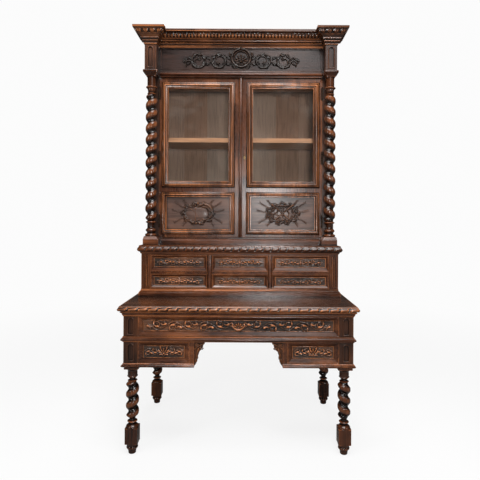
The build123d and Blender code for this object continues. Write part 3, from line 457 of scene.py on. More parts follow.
def moulding(name, profile, runs, carve, slot="carved_wood", step=2.4, kind="oak"):
    """Sweeps an outline along straight runs. A run is (start, along, outward, length, mitre0, mitre1). carve
    gives the depth of cutting at a distance along the run and along the outline."""
    points, normals, travel = rounded(profile)
    count = len(points)
    crest = np.zeros(count)
    crest[1:-1] = np.cross(np.roll(normals, 1, axis=0), normals)[1:-1]
    vertices, faces, wear_and_shade_rows, base = [], [], [], 0
    for start, along, outward, length, mitre0, mitre1 in runs:
        along, outward = np.array(along, float), np.array(outward, float)
        stations = np.linspace(0, 1, max(2, round(length / step)) + 1)
        cut = carve((stations * length)[:, None], travel[None, :], length)
        out = points[None, :, 0] + cut * normals[None, :, 0]
        z = points[None, :, 1] + cut * normals[None, :, 1]
        reach = stations[:, None] * (length + (mitre0 + mitre1) * out) - mitre0 * out
        place = np.array(start)[None, None, :] + reach[..., None] * along + out[..., None] * outward
        vertices.append(np.concatenate([place, z[..., None]], axis=-1).reshape(-1, 3))
        # wear on what stands proud and on crests; low values paint shade into the cuts
        proud = cut - blurred(cut, 2) + 0.35 * (cut - cut.min()) / max(1e-6, np.ptp(cut))
        wear_and_shade_rows.append((0.36 + 0.45 * proud + 0.6 * crest[None, :]).ravel())
        faces += tube_faces(len(stations), count, base, flip=np.cross(along, outward) <= 0)
        base += count * len(stations)
    return new_piece(
        name, np.concatenate(vertices), faces, np.concatenate(wear_and_shade_rows), wood(kind, "x", True), "case"
    )


def sides_of(x, y, back=0):
    """The front and both sides of a block, mitred at the corners, and its back if back is 1."""
    runs = [
        ((x[0], y[0]), (1, 0), (0, -1), x[1] - x[0], 1, 1),
        ((x[1], y[0]), (0, 1), (1, 0), y[1] - y[0], 1, back),
        ((x[0], y[0]), (0, 1), (-1, 0), y[1] - y[0], 1, back),
        ((x[0], y[1]), (1, 0), (0, 1), x[1] - x[0], 1, 1),
    ]
    return runs[:3 + back]


def carver(low, high, period, depth, steepness, raised):
    """The depth of cutting for a moulding, between two distances along its outline. raised gives the height
    that is left, from 0 to 1, within one period and across the band."""
    def carve(along, travel, length):
        s = along / (length / max(1, round(length / period)))
        t = (travel - low) / (high - low)
        edge = np.clip(np.minimum(t, 1 - t) * steepness, 0, 1)
        return np.where((t > 0) & (t < 1), -depth * (1 - raised(s % 1, t)) * edge, 0.0)
    return carve


def ribbon(low, high, period, depth):
    """A ribbon wound round the moulding: slanted lens shapes that overlap, with dark gaps between."""
    def raised(s, t):
        height = np.zeros(np.broadcast_shapes(s.shape, t.shape))
        for shift in (-1, 0, 1):
            u = s + shift + 0.35 * (t - 0.5)
            reach = (u - 0.5) / 1.18 + 0.5
            width = 0.56 * np.sin(math.pi * np.clip(reach, 0, 1)) ** 0.7
            centre = 0.5 + 0.75 * (u - 0.5)
            lens = np.clip(1 - ((t - centre) / np.maximum(width, 0.04)) ** 2, 0, 1) ** 0.5
            height = np.maximum(height, np.where((reach > 0) & (reach < 1), lens, 0))
        return height
    return carver(low, high, period, depth, 8, raised)


def leaves(low, high, period, depth):
    """A row of upright tongues with darts between them, as on a carved ovolo."""
    def raised(s, t):
        across = np.abs(s - 0.5) * 2
        tongue_w = 0.78 * np.sqrt(np.clip(1 - (1 - np.clip(t, 0, 1)) ** 3, 0, 1))
        tongue = np.clip(1 - (across / np.maximum(tongue_w, 0.05)) ** 2, 0, 1) ** 0.5
        vein = 0.35 * np.exp(-(across / 0.12) ** 2)
        dart = np.clip((across - 0.88) / 0.12, 0, 1) * 0.8
        return np.maximum(tongue - vein, dart)
    return carver(low, high, period, depth, 6, raised)


def plain(along, travel, length):
    """No cutting at all."""
    return np.zeros(np.broadcast_shapes(along.shape, travel.shape))


def ribboned(name, profile, case, out, spare, period, depth, **look):
    """An edge round the front and sides of a case. A ribbon is carved where the outline stands further out
    than out, and so much beyond that at each end."""
    points, _, travel = rounded(profile)
    nose = travel[points[:, 0] > out + 0.01]
    carve = ribbon(nose.min() - spare[0], nose.max() + spare[1], period, depth)
    (x0, y0, _), (x1, y1, _) = span(case)
    return moulding(name, profile, sides_of((x0, x1), (y0, y1)), carve, **look)


def desk_edge():
    """The desk top's edge: a nosing between two fillets."""
    z0, z1 = np.transpose(span("desk_top"))[2]
    profile = [
        (0, z0), (13, z0), (15, z0 + 4), (24, z0 + 5), (24, z1 - 8, 5.5), (20, z1 - 3, 0.8), (18, z1),
        (0, z1),
    ]
    piece = ribboned(
        "desk_edge_carved", profile, "desk_top", 24, (3, 6), 50, 4.2, slot="top_wood", kind="carved"
    )
    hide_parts("desk_top_edge")


def riser_cornice():
    z0, z1 = np.transpose(span("riser_cornice"))[2]
    profile = [
        (0, z0), (4, z0), (6, z0 + 6), (12, z0 + 12, -2), (17, z0 + 15), (17, z1 - 10, 6), (12, z1 - 6),
        (12, z1), (0, z1),
    ]
    piece = ribboned("riser_cornice_carved", profile, "riser_top", 17, (2, 3), 44, 3.6, kind="turned")
    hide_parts("riser_cornice")


CORNICE = [
    (0, 2256), (6, 2256), (8, 2262), (8, 2268, 2.6), (12, 2270), (14, 2274), (14, 2281, 3), (20, 2284),
    (26, 2286), (32, 2294, -1.6), (40, 2298), (58, 2322, 7), (66, 2324), (76, 2326), (76, 2339), (0, 2339),
]


BLOCK_X = 495            # inner face of the blocks above the columns
STILE_Y = 31             # front of the bookcase's side stiles, and of its frieze
SIDE_SHARE = 0.6         # of the cornice's outward reach, along the bookcase's sides


def ovolo_span(profile, foot, head):
    """Distances along the outline at two of its stations."""
    points, _, travel = rounded(profile)
    ends = [np.argmin(np.linalg.norm(points - np.array(end), axis=1)) for end in (foot, head)]
    return travel[ends]


def cornice():
    """The cornice's carved front, its narrower sides, and a strip that closes its top."""
    front = moulding(
        "cornice_carved_front", CORNICE, [((-BLOCK_X, 25), (1, 0), (0, -1), 2 * BLOCK_X, 0, 0)],
        leaves(*ovolo_span(CORNICE, (40, 2298), (58, 2322)), 20, 3.2), kind="carved",
    )
    narrow = [(out * SIDE_SHARE, *rest) for out, *rest in CORNICE]
    side_x, back, _ = span("cabinet_side_right")[1]
    moulding(
        "cornice_carved_sides", narrow,
        [((s * side_x, STILE_Y), (0, 1), (s, 0), back - STILE_Y, 0, 0) for s in (LEFT, RIGHT)],
        leaves(*ovolo_span(narrow, (24, 2298), (34.8, 2322)), 20, 2.8), kind="carved",
    )
    runs = ((-BLOCK_X, 2 * BLOCK_X), (-560, 65), (BLOCK_X, 65))
    moulding(
        "cornice_top_strip", [(0, 2321), (30, 2321), (30, 2339), (0, 2339)],
        [((x, 55), (1, 0), (0, -1), length, 0, 0) for x, length in runs], plain,
    )
    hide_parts("cornice")


CROWN = [
    (0, 2246), (4, 2248), (4, 2256, 1.5), (8, 2264), (10, 2272, 2.2), (14, 2278), (19, 2281),
    (21, 2292, -1.5), (26, 2297), (33, 2302), (50, 2322, 5), (53, 2324), (57, 2326), (58, 2327),
    (58, 2338.5), (-33.4, 2338.5), (-33.4, 2330), (0, 2330),
]


def crowns():
    carve = leaves(*ovolo_span(CROWN, (33, 2302), (50, 2322)), 15, 2.6)
    for side, word in SIDES:
        sides = sides_of(sorted((side * BLOCK_X, side * 562)), (-48, STILE_Y), back=1)
        piece = moulding(f"crown_{word}_carved", CROWN, sides, carve, step=1.7, kind="carved")
        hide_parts(f"crown_{word}")


# ------------ carving in relief
def circle(angle):
    return np.stack([np.cos(angle), np.sin(angle)], axis=1)


def bearing(way):
    """The heading of a vector, in degrees."""
    return math.degrees(math.atan2(way[1], way[0]))


def track(start, heading, length, turn, power=1.0, count=40):
    """Points along a line that starts at a heading and turns by so many degrees. If power > 1, it turns
    faster towards its end."""
    t = np.linspace(0, 1, count)
    step = circle(np.radians(heading + turn * t ** power)) * length / (count - 1)
    return np.array(start) + np.concatenate([[[0, 0]], np.cumsum(step[:-1], axis=0)])


class Carving:
    """Heights in millimetres over a rectangle centred on (0, 0), built up stroke by stroke."""

    def __init__(self, width, height, step=1.5):
        self.x = np.linspace(-width / 2, width / 2, round(width / step) + 1)
        self.z = np.linspace(-height / 2, height / 2, round(height / step) + 1)
        self.height = np.zeros((len(self.z), len(self.x)))

    def dab(self, x, z, radius, height):
        """One round touch of the gouge, as a dome that keeps whatever stands higher."""
        j0, j1 = np.searchsorted(self.x, (x - radius, x + radius))
        i0, i1 = np.searchsorted(self.z, (z - radius, z + radius))
        if i0 == i1 or j0 == j1:
            return
        square = ((self.x[None, j0:j1] - x) ** 2 + (self.z[i0:i1, None] - z) ** 2) / radius ** 2
        dome = height * np.sqrt(np.clip(1 - square, 0, 1))
        np.maximum(self.height[i0:i1, j0:j1], dome, out=self.height[i0:i1, j0:j1])

    def stroke(self, points, radius0, radius1, height0, height1=None, swell=0.0):
        """A round ridge along points, whose radius and height change from end to end."""
        height1 = height0 if height1 is None else height1
        legs = np.linalg.norm(np.diff(points, axis=0), axis=1)
        travel = np.concatenate([[0], np.cumsum(legs)])
        count = max(3, int(travel[-1] / np.clip(0.35 * min(radius0, radius1), 0.5, 2.0)))
        for t in np.linspace(0, 1, count):
            x = np.interp(t * travel[-1], travel, points[:, 0])
            z = np.interp(t * travel[-1], travel, points[:, 1])
            more = 1 + swell * math.sin(math.pi * t)
            self.dab(x, z, (radius0 + (radius1 - radius0) * t) * more, height0 + (height1 - height0) * t)

    def leaf(self, start, heading, length, turn, width, height, lobes=4):
        """An acanthus leaf: a rib with lobes that spread from both sides and shrink to the tip."""
        rib = track(start, heading, length, turn, 1.3, 30)
        self.stroke(rib, width * 0.24, width * 0.07, height, height * 0.8, 0.5)
        for i in range(lobes):
            t = (i + 0.35) / lobes * 0.85
            k = int(t * (len(rib) - 2))
            ahead = bearing(rib[k + 1] - rib[k])
            reach = width * 0.62 * math.sin(math.pi * (0.22 + 0.68 * t))
            for side in (LEFT, RIGHT):
                lobe = track(rib[k], ahead + side * 58, reach, -side * 34, 1.0, 8)
                self.stroke(lobe, width * 0.15, width * 0.07, height * 0.85, height * 0.45, 0.3)

    def bud(self, x, z, heading, size, height, turn=70):
        """A comma-shaped bud: a fat round head that curls away to a thin tail."""
        tail = track((x, z), heading, size * 1.9, turn, 1.2, 10)
        self.stroke(tail, size * 0.5, size * 0.12, height, height * 0.6)

    def flower(self, x, z, radius, height, petals=5):
        for i in range(petals):
            petal = track((x, z), 360 * i / petals + 20, radius * 0.72, 25, 1, 6)
            self.stroke(petal, radius * 0.2, radius * 0.32, height * 0.7, height * 0.8)
        self.dab(x, z, radius * 0.34, height * 1.15)

    def shell(self, x, z, radius, height, ribs=9, spread=200):
        """A scallop: ribs that fan out upwards from a hinge and grow thicker to their ends."""
        for i in range(ribs):
            angle = 90 - spread / 2 + spread * i / (ribs - 1)
            length = radius * (1 - 0.18 * abs(i / (ribs - 1) - 0.5) * 2)
            rib = track((x, z), angle, length, 0, 1, 6)
            self.stroke(rib, radius * 0.05, radius * 0.15, height * 0.55, height)
        self.dab(x, z, radius * 0.2, height * 1.1)

    def scroll(self, x, z, radius, start, turns, thick, height):
        """A spiral branch round (x, z), from its rim in to a bud. turns < 0 is clockwise."""
        t = np.linspace(0, 1, 60)
        reach = radius * (1 - 0.7 * t ** 1.3)
        rim = np.array([x, z]) + reach[:, None] * circle(np.radians(start) + 2 * math.pi * turns * t)
        self.stroke(rim, thick, thick * 0.65, height * 0.75, height * 0.9)
        ahead = bearing(rim[-1] - rim[-4])
        sign = 1 if turns > 0 else -1
        self.bud(*rim[-1], ahead, radius * 0.34 * 1.8, height * 1.25, 90 * sign)
        self.bud(*rim[-1], ahead - 140 * sign, radius * 0.34 * 1.3, height * 1.1, -60 * sign)
        return rim

    def rinceau(self, x0, pitch, count, radius, thick, height, up=1):
        """A wavy stem that throws a scroll with round buds into each bend, from x0 to the right."""
        centres = x0 + pitch * (np.arange(count) + 0.5)
        xs = np.linspace(x0, x0 + pitch * count, 30 * count)
        stem = np.stack([xs, -0.75 * up * radius * np.cos(math.pi * (xs - centres[0]) / pitch)], axis=1)
        self.stroke(stem, thick, thick * 0.75, height * 0.7)
        for i, x in enumerate(centres):
            sign = up * (-1) ** i
            middle = np.array([x + 0.06 * pitch, sign * radius * 0.12])
            rim = self.scroll(*middle, radius, -90 * sign, 0.95 * sign, thick, height)
            for k, size in ((10, 0.62), (32, 0.5)):
                out = bearing(rim[k] - middle)
                self.leaf(rim[k], out + 40 * sign, radius * size, 60 * sign, radius * 0.5, height * 0.8, 3)
            out = bearing(rim[20] - middle)
            self.bud(*rim[20], out + 60 * sign, radius * 0.42, height * 1.2, 80 * sign)
            root = np.array([x - 0.46 * pitch, sign * radius * 0.35])
            self.leaf(root, 60 * sign, radius * 0.7, -50 * sign, radius * 0.5, height * 0.8, 3)
            self.bud(*root, -30 * sign, radius * 0.62, height * 1.25, 100 * sign)

    def wreath(self, across, up, count, size, height):
        """Leaves laid round an oval, each over the next one's stalk, with a berry between."""
        for k in range(count):
            angle = 2 * math.pi * k / count
            place = np.array([across * math.cos(angle), up * math.sin(angle)])
            ahead = bearing((-across * math.sin(angle), up * math.cos(angle)))
            self.leaf(place, ahead + 26 * (-1) ** k, size * 1.5, 30, size, height, 3)
            self.dab(*(place * 1.08), size * 0.22, height * 1.1)

    def mirror(self):
        self.height = np.maximum(self.height, self.height[:, ::-1])


BACKING = 0.6    # how far a relief goes into the face it is set on
PROUD = 0.35     # what stands lower than this is left out, where a relief has no ground


def relief(name, carving, centre, face, body, ground=0.0, kind="carved", axis="x", polish=0.62):
    """Sets a carving on an upright face that looks to -Y. With a ground it is a whole panel whose ground is
    stippled by so much. Without one, only what stands proud is made."""
    height = carving.height
    if ground:
        face -= ground + 0.1
        stipple = rng.uniform(0, ground, height.shape)
        height = height - stipple * np.clip(1 - height / 0.8, 0, 1)
        keep = np.ones((height.shape[0] - 1, height.shape[1] - 1), bool)
    else:
        proud = height > PROUD
        keep = proud[:-1, :-1] | proud[1:, :-1] | proud[:-1, 1:] | proud[1:, 1:]
        height = np.where(proud, height, 0.0)
    used = np.zeros(height.shape, bool)
    for corners in (used[:-1, :-1], used[1:, :-1], used[:-1, 1:], used[1:, 1:]):
        corners |= keep
    number = np.full(height.shape, -1)
    number[used] = np.arange(used.sum())
    i, j = np.nonzero(used)
    x, z = centre[0] + carving.x[j], centre[1] + carving.z[i]
    front = np.stack([x, face - height[i, j], z], axis=1)
    back = np.stack([x, np.full(len(x), face + ground + BACKING), z], axis=1)
    total = len(front)
    ci, cj = np.nonzero(keep)
    tops = number[ci[:, None] + (0, 0, 1, 1), cj[:, None] + (0, 1, 1, 0)]
    walls = []
    padded = np.pad(keep, 1)
    for side, (si, sj) in enumerate(((-1, 0), (0, 1), (1, 0), (0, -1))):
        rim = tops[~padded[ci + 1 + si, cj + 1 + sj]]
        first, second = rim[:, side], rim[:, (side + 1) % 4]
        walls.append(np.stack([second, first, first + total, second + total], axis=1))
    faces = np.concatenate([tops, tops[:, ::-1] + total, *walls]).tolist()
    # wear on what stands high; low values paint shade onto the ground beside the carving and onto its slopes
    local = height - blurred(height, 3)
    rise = np.maximum(height, 0) / max(1.0, height.max())
    if ground:
        full = 0.42 + 0.08 * local + 0.75 * rise ** 2 - 0.8 * rise * (1 - rise)
    else:
        full = 0.35 + 0.12 * local + polish * rise ** 2
    wear_and_shade = np.concatenate([full[i, j], np.full(total, 0.2)])
    new_piece(name, np.concatenate([front, back]), faces, wear_and_shade, wood(kind, axis, True), body)


DRAWERS = {
    # body: node, margins of the carved field at the sides, below and above it, and how deep it is set
    "frieze_drawer": ("frieze_drawer_front", 24, 24, 19, 12),
    "left_drawer": ("left_drawer_front", 24, 24, 20, 12),
    "right_drawer": ("right_drawer_front", 24, 24, 20, 12),
}
SMALL_DRAWERS = {
    f"{row}_{column}_drawer": (f"riser_drawer_{row}_{column}", 16, below, 14, 9)
    for row, below in (("upper", 24), ("lower", 14)) for column in ("left", "middle", "right")
}
DRAWERS.update(SMALL_DRAWERS)


def field_of(body):
    """Two corners (x, z) of a drawer's carved field, and its y."""
    node, side, below, above, recess = DRAWERS[body]
    low, high = span(node)
    return low[::2] + (side, below), high[::2] - (side, above), low[1] + recess


def drawer_carving(body, spare_x, spare_z, step=1.4):
    """An empty carving, smaller than a drawer's field by what is to spare."""
    low, high, _ = field_of(body)
    return Carving(*(high - low - (spare_x, spare_z)), step)


def set_in_drawer(body, panel, ground=0.8):
    low, high, y = field_of(body)
    relief(f"{body}_carving", panel, (low + high) / 2, y, body, ground=ground, kind="field")


def carve_drawers():
    panel = drawer_carving("frieze_drawer", 2, 4, 1.5)
    panel.rinceau(48, 82, 5, 25, 3.1, 8.0)
    panel.leaf((452, -6), 20, 26, -60, 17, 7, 3)
    panel.bud(472, -2, 200, 15, 9.5, 80)
    panel.mirror()
    for side in (LEFT, RIGHT):
        panel.scroll(side * 34, 8, 14, 180 if side > 0 else 0, side * 1.05, 4.4, 9)
        panel.leaf((side * 10, -20), 90 - side * 66, 44, side * 46, 17, 8, 4)
    panel.shell(0, -10, 24, 10.5, 7, 190)
    panel.stroke(track((-31, 2), -66, 76, 132, 1, 24), 3.4, 3.4, 11.3, 11.3, 0.8)
    set_in_drawer("frieze_drawer", panel)
    for body in ("left_drawer", "right_drawer"):
        panel = drawer_carving(body, 4, 4)
        panel.rinceau(22, 37, 2, 18, 3.4, 7.0)
        panel.mirror()
        panel.shell(0, -8, 25, 8.5, 7, 210)
        for turn in (LEFT, RIGHT):
            panel.leaf((turn * 4, -16), 90 - turn * 70, 28, turn * 50, 14, 7, 3)
            panel.bud(turn * 16, 18, 90, 9, 9, -turn * 80)
        set_in_drawer(body, panel)
    for body in SMALL_DRAWERS:
        panel = drawer_carving(body, 2, 2)
        panel.rinceau(12, 36, 3, 15, 3.0, 6.2, up=-1)
        panel.leaf((116, 2), -10, 16, 30, 11, 6, 3)
        panel.mirror()
        panel.flower(0, 0, 14, 7, 6)
        for turn in (LEFT, RIGHT):
            panel.leaf((0, turn * 5), turn * 90, 15, 0, 14, 6, 3)
        set_in_drawer(body, panel, 0.7)


def carve_top_frieze():
    """Two ringed scrolls on each side of a round cartouche that holds a shell."""
    panel = Carving(720, 172, 1.3)
    for x, turn in ((134, -1), (256, 1)):
        middle = np.array([x, -10])
        t = np.linspace(0, 1, 90)
        reach = 42 - 28 * ramp(t, 0.5, 1.0)
        branch = middle + reach[:, None] * circle(math.radians(200) + turn * 2 * math.pi * 1.75 * t)
        panel.stroke(branch, 5.4, 3.4, 8.5, 7.5)
        panel.flower(*branch[-1], 13, 9)
        for k in range(8):
            start = branch[4 + 7 * k]
            inward = bearing(middle - start)
            panel.leaf(start, inward + 44 * turn, 30, 60 * turn, 17, 7, 3)
            panel.leaf(start, inward + 180 - 66 * turn, 18, -50 * turn, 13, 6.5, 3)
            panel.bud(*start, inward + 20 * turn, 10, 9.5, 70 * turn)
    for x in (72, 195):
        for up in (LEFT, RIGHT):
            panel.leaf((x - 6, up * 8 - 10), up * 62, 32, -up * 80, 15, 7, 3)
            panel.scroll(x + 4, up * 21 - 10, 9, 180, up * 0.9, 3.4, 7)
    panel.stroke(track((292, -24), 60, 74, -200, 1.2), 4.8, 3.0, 7.5)
    for x, z, heading in ((300, 0, 30), (318, 4, -10), (306, -22, -40), (328, -14, 10)):
        panel.leaf((x, z), heading, 26, 30, 14, 6.5, 3)
    panel.scroll(338, -12, 13, 150, -1.0, 3.8, 7.5)
    panel.mirror()
    ring = circle(np.linspace(0, 2 * math.pi, 100))
    panel.stroke((0, 8) + ring * (56, 54), 7.5, 7.5, 12)
    panel.stroke((0, 8) + ring * (42, 41), 3.2, 3.2, 10)
    for side in (LEFT, RIGHT):
        panel.scroll(side * 57, 26, 15, 90 + side * 20, -side * 1.2, 5, 13)
        panel.scroll(side * 30, -44, 14, -90 + side * 20, side * 1.1, 5, 13)
        panel.leaf((side * 16, -58), 90 - side * 74, 66, side * 84, 20, 10, 5)
        panel.leaf((side * 12, 56), 90 - side * 40, 34, -side * 60, 18, 12, 4)
    panel.shell(0, -14, 38, 13, 9, 230)
    panel.flower(0, 0, 16, 15, 6)
    panel.leaf((0, 56), 90, 20, 0, 24, 21, 4)
    relief("top_frieze_carving", panel, (0, 2190), STILE_Y, "case", kind="dark")


def sprays(panel, places, height=2.6):
    """Thin branches that fan out from behind a trophy, with narrow leaves in pairs."""
    for x, z, heading, length in places:
        stem = track((x, z), heading, length, 16 if x * z > 0 else -16, 1, 16)
        panel.stroke(stem, 1.1, 0.8, height)
        for k in range(3, 16, 3):
            for side in (LEFT, RIGHT):
                leaf = track(stem[k], heading + side * 50, 11, -side * 30, 1, 5)
                panel.stroke(leaf, 1.8, 0.8, height * 1.2, height)


def middle_of(node):
    low, high = span(node)
    return (low[0] + high[0]) / 2, (low[2] + high[2]) / 2


def carve_door_panels():
    """Trophies in a wreath: a shield and a horn on the left door, crossed pipes on the right."""
    rays = [(78, 30, 24, 66), (88, 6, 4, 64), (80, -24, -20, 66), (60, 44, 44, 44), (64, -40, -42, 40)]
    rays += [(-x, z, 180 - heading, length) for x, z, heading, length in rays]
    shield_body, shield, pipes_body, pipes = (Carving(352, 164, 1.3) for _ in range(4))
    sprays(shield_body, rays)
    shield_body.stroke(track((-42, -8), 0, 64, 0, 1, 10), 46, 42, 8.6, 8.0)
    shield.wreath(82, 54, 20, 25, 8)
    shield.wreath(70, 48, 14, 18, 8.5)
    shield.stroke(track((-16, 30), -90, 78, 0, 1, 10), 2.8, 2.8, 10.2)
    shield.stroke(track((-46, 26), -30, 70, -40, 1, 12), 3.6, 2.6, 10.5, 9.0)
    shield.stroke(track((44, 52), -14, 150, -190, 1.1, 40), 10, 5.0, 10.5, 9.5)
    shield.scroll(74, 8, 17, 100, -1.0, 5.0, 10)
    for x, z, radius in ((-78, -26, 9), (-12, -60, 9), (10, -62, 8), (-2, 58, 9), (-30, -56, 7)):
        shield.dab(x, z, radius, 11)
    sprays(pipes_body, rays)
    pipes_body.stroke(track((-30, -4), 0, 60, 0, 1, 10), 44, 44, 3.0, 3.0)
    for ring in ((90, 58, 22, 20, 7), (66, 40, 16, 17, 7.5), (40, 22, 11, 15, 8)):
        pipes.wreath(*ring)
    for side in (LEFT, RIGHT):
        pipes.stroke(track((side * 62, 52), 270 - side * 50, 138, 0, 1, 20), 7.0, 3.2, 11.0, 9.5)
        pipes.scroll(side * 30, -52, 14, 180 - side * 90, side * 1.1, 4.0, 9.5)
        pipes.leaf((side * 8, 46), 90 - side * 70, 40, -side * 60, 18, 9.5, 4)
    pipes.leaf((0, -10), 90, 60, 0, 26, 10.5, 5)
    for word, back, trophy in (("left", shield_body, shield), ("right", pipes_body, pipes)):
        node = f"door_{word}_panel"
        for part, carving, kind in (("_body", back, "door_panel"), ("", trophy, "trophy")):
            relief(f"door_{word}_trophy{part}", carving, middle_of(node), span(node)[0][1],
                   f"{word}_door", kind=kind, polish=0.3)


def carve_brackets():
    """A branch of leaves that runs down each kneehole bracket."""
    panel = Carving(62, 129, 1.2)
    panel.stroke(track((20, 56), 200, 118, 58, 1.2, 30), 3.4, 2.2, 4)
    panel.flower(-17, 48, 12, 5.5, 6)
    for leaf in (
        ((18, 54), 196, 34, 30, 14, 4.5, 4), ((-2, 36), 320, 22, 50, 12, 4.2, 3),
        ((-8, 30), 250, 40, 16, 16, 4.8, 5), ((-18, 2), 282, 32, -20, 13, 4.5, 4),
        ((-22, -24), 262, 30, 8, 11, 4.2, 4),
    ):
        panel.leaf(*leaf)
    for side, word in SIDES:
        node = f"bracket_{word}"
        relief(f"{node}_carving", panel, middle_of(node), span(node)[0][1], "case", axis="z")
        panel.height = panel.height[:, ::-1].copy()


# ------------ mouldings round openings
GLASS_MOULDING = [
    # distance out from the opening, y, and wear with painted shade: high on worn beads, low in the grooves,
    # which take painted shade
    (0, 36, 0.3), (0, 30.5, 0.5), (1.5, 29, 0.9), (3.5, 29, 0.9), (4.5, 29.6, 0.05), (6, 28.5, 0.1),
    (9, 26, 0.6), (12, 24.8, 0.85), (14, 24.2, 0.05), (15.5, 22.2, 0.1), (17, 20.6, 0.7), (20, 19.6, 0.95),
    (23, 20.2, 0.85), (25, 22.2, 0.1), (26.3, 22.6, 0.05), (28, 20.9, 0.7), (31, 21.6, 0.9),
    (33, 24.2, 0.3), (34.2, 26.2, 0.05), (36, 26.6, 0.1), (38.5, 28.5, 0.6), (39.5, 30.8, 0.2),
    (39.5, 32, 0.2),
]
FIELD_MOULDING = [
    (0, 36, 0.3), (0, 31.5, 0.4), (1.5, 29, 0.9), (5, 28.6, 0.9), (7, 28.8, 0.05), (8.5, 26, 0.1),
    (10, 23.5, 0.4), (13, 21, 0.85), (17, 20.8, 0.95), (19.5, 22.4, 0.05), (21, 22.8, 0.05),
    (22.5, 21.8, 0.7), (25, 23.5, 0.9), (27, 27, 0.05), (28.5, 27.5, 0.3), (31, 28.8, 0.6), (32, 30.8, 0.2),
    (32, 32, 0.2),
]
BEAD = [
    (0, 0.4, 0.2), (0.3, -1.6, 0.4), (1.6, -3.0, 0.9), (3.2, -3.0, 0.9), (4.5, -1.6, 0.3), (4.8, 0.4, 0.1),
]


SIGHT = {"glass": 11.5, "panel": 3.5}  # how far a door's mouldings cover its glass and its panel


def picture_frame(name, profile, low, high, body, depth=0.0):
    """A moulding mitred round an upright opening, given by its (x, z) corners."""
    count = len(profile)
    vertices, wear_and_shade, faces = [], [], []
    for right, top in ((0, 0), (1, 0), (1, 1), (0, 1)):
        # the third column is wear on the beads and painted shade in the grooves
        for out, y, worn in profile:
            x = high[0] + out if right else low[0] - out
            z = high[1] + out if top else low[1] - out
            vertices.append((x, depth + y, z))
            wear_and_shade.append(worn)
    for corner in range(4):
        after = (corner + 1) % 4
        for k in range(count):
            m = (k + 1) % count
            faces.append((corner * count + m, corner * count + k, after * count + k, after * count + m))
    new_piece(name, vertices, faces, wear_and_shade, wood("carved", "z", True), body)


def door_mouldings():
    for word in ("left", "right"):
        for part, profile in (("glass", GLASS_MOULDING), ("panel", FIELD_MOULDING)):
            node, sight = f"door_{word}_{part}", SIGHT[part]
            low, high = span(node)
            picture_frame(f"{node}_moulding", profile, low[::2] + sight, high[::2] - sight, f"{word}_door")


def drawer_beads():
    """A small bead round the carved field of every drawer."""
    inset = 4
    for body in DRAWERS:
        low, high, y = field_of(body)
        picture_frame(f"{body}_bead", BEAD, low + inset, high - inset, body, depth=y)


def niche_beads():
    """A bead round each arched niche in the front posts and in the blocks above the columns."""
    post_x = (span("corner_posts")[1][0] + span("frieze_drawer_front")[1][0]) / 2
    post_y, block_y = span("corner_posts")[0][1], span("frieze_blocks")[0][1]
    niches = [(post_x, post_y, 492, 579), (post_x, post_y, 628, 715), (528.5, block_y, 2114, 2236)]
    for number, (x, y, foot, head) in enumerate(niches):
        panel = Carving(46, head - foot + 14, 1.2)
        half_w, half_h = 16, (head - foot) / 2 + 1
        arch = (0, half_h - half_w) + half_w * circle(np.radians(np.linspace(180, 0, 16)))
        path = np.concatenate([[(half_w, -half_h), (-half_w, -half_h)], arch, [(half_w, -half_h)]])
        panel.stroke(path, 2.5, 2.5, 2.4)
        for side, word in SIDES:
            relief(f"niche_bead_{word}_{number}", panel, (side * x, (foot + head) / 2), y, "case",
                   kind="post", axis="z", polish=0.2)


# ------------ the CAD nodes' own materials
BOARDS = (
    # wood, axis of the grain if it is the same in every board, nodes
    ("post", "z", ("corner_posts", "frieze_blocks", "cabinet_side_left", "cabinet_side_right")),
    ("oak", "z", ("riser_sides",)),
    ("oak", None, ("riser_base", "riser_top", "riser_partitions", "column_plinths")),
    ("oak", None, ("door_left_frame", "door_right_frame")),
    ("desk_oak", None, ("desk_side_left", "desk_side_right", "top_moulding", "waist_moulding")),
    ("desk_oak", None, ("pedestal_base_left", "pedestal_base_right", "pedestal_inner_sides")),
    ("desk_oak", None, ("bracket_left", "bracket_right")),
    ("desk_oak", "x", ("frieze_drawer_front", "left_drawer_front", "right_drawer_front")),
    ("panel", None, ("frieze_board",)),
    ("door_panel", None, ("door_left_panel", "door_right_panel")),
    ("polished", "x", ("desk_top",)),
    ("inner", None, ("desk_back", "riser_back", "cabinet_boards", "cabinet_back", "shelf_cleats")),
    ("shelf", "x", ("shelf",)),
    ("lining", None, ("drawer_runners", "frieze_drawer_box", "left_drawer_box", "right_drawer_box")),
    ("lining", None, [node for node, *_ in SMALL_DRAWERS.values()]),
)
FINISHES = (
    (IRON, ("hinges_case", "hinges_door_left", "hinges_door_right")),
    (BRASS, ("door_lock",)),
    (PANE, ("door_left_glass", "door_right_glass")),
)
RAIL = 30          # height of the rail below the frieze
FRONT = 20.5       # a small drawer's front is a little thinner than this


def dress_nodes():
    """Gives every CAD node its material. Rails and fronts that share a node with other boards are oak."""
    for kind, along, names in BOARDS:
        for node in names:
            dress(node, kind, along)
    rail_top = (span("frieze_board")[0][2] + RAIL) * MM
    door_foot = (span("door_left_frame")[0][2] + 2) * MM
    repaint("frieze_board", "oak", "x", lambda v: v.z < rail_top)
    repaint("cabinet_boards", "oak", "x", lambda v: v.z < door_foot)
    for node, *_ in SMALL_DRAWERS.values():
        behind_front = (span(node)[0][1] + FRONT) * MM
        repaint(node, "oak", "x", lambda v: v.y < behind_front)
    for finish, names in FINISHES:
        for node in names:
            mesh = nodes[node].data
            mesh.materials.clear()
            mesh.materials.append(finish)


dress_nodes()
turnings()
desk_edge()
riser_cornice()
cornice()
crowns()
carve_drawers()
carve_top_frieze()
carve_door_panels()
carve_brackets()
door_mouldings()
drawer_beads()
niche_beads()


# ------------ floor, light and camera
WHITE = 0.97       # what the camera sees of the floor's glow and the background
FLOOR = 14         # metres from the middle of the floor to its edge


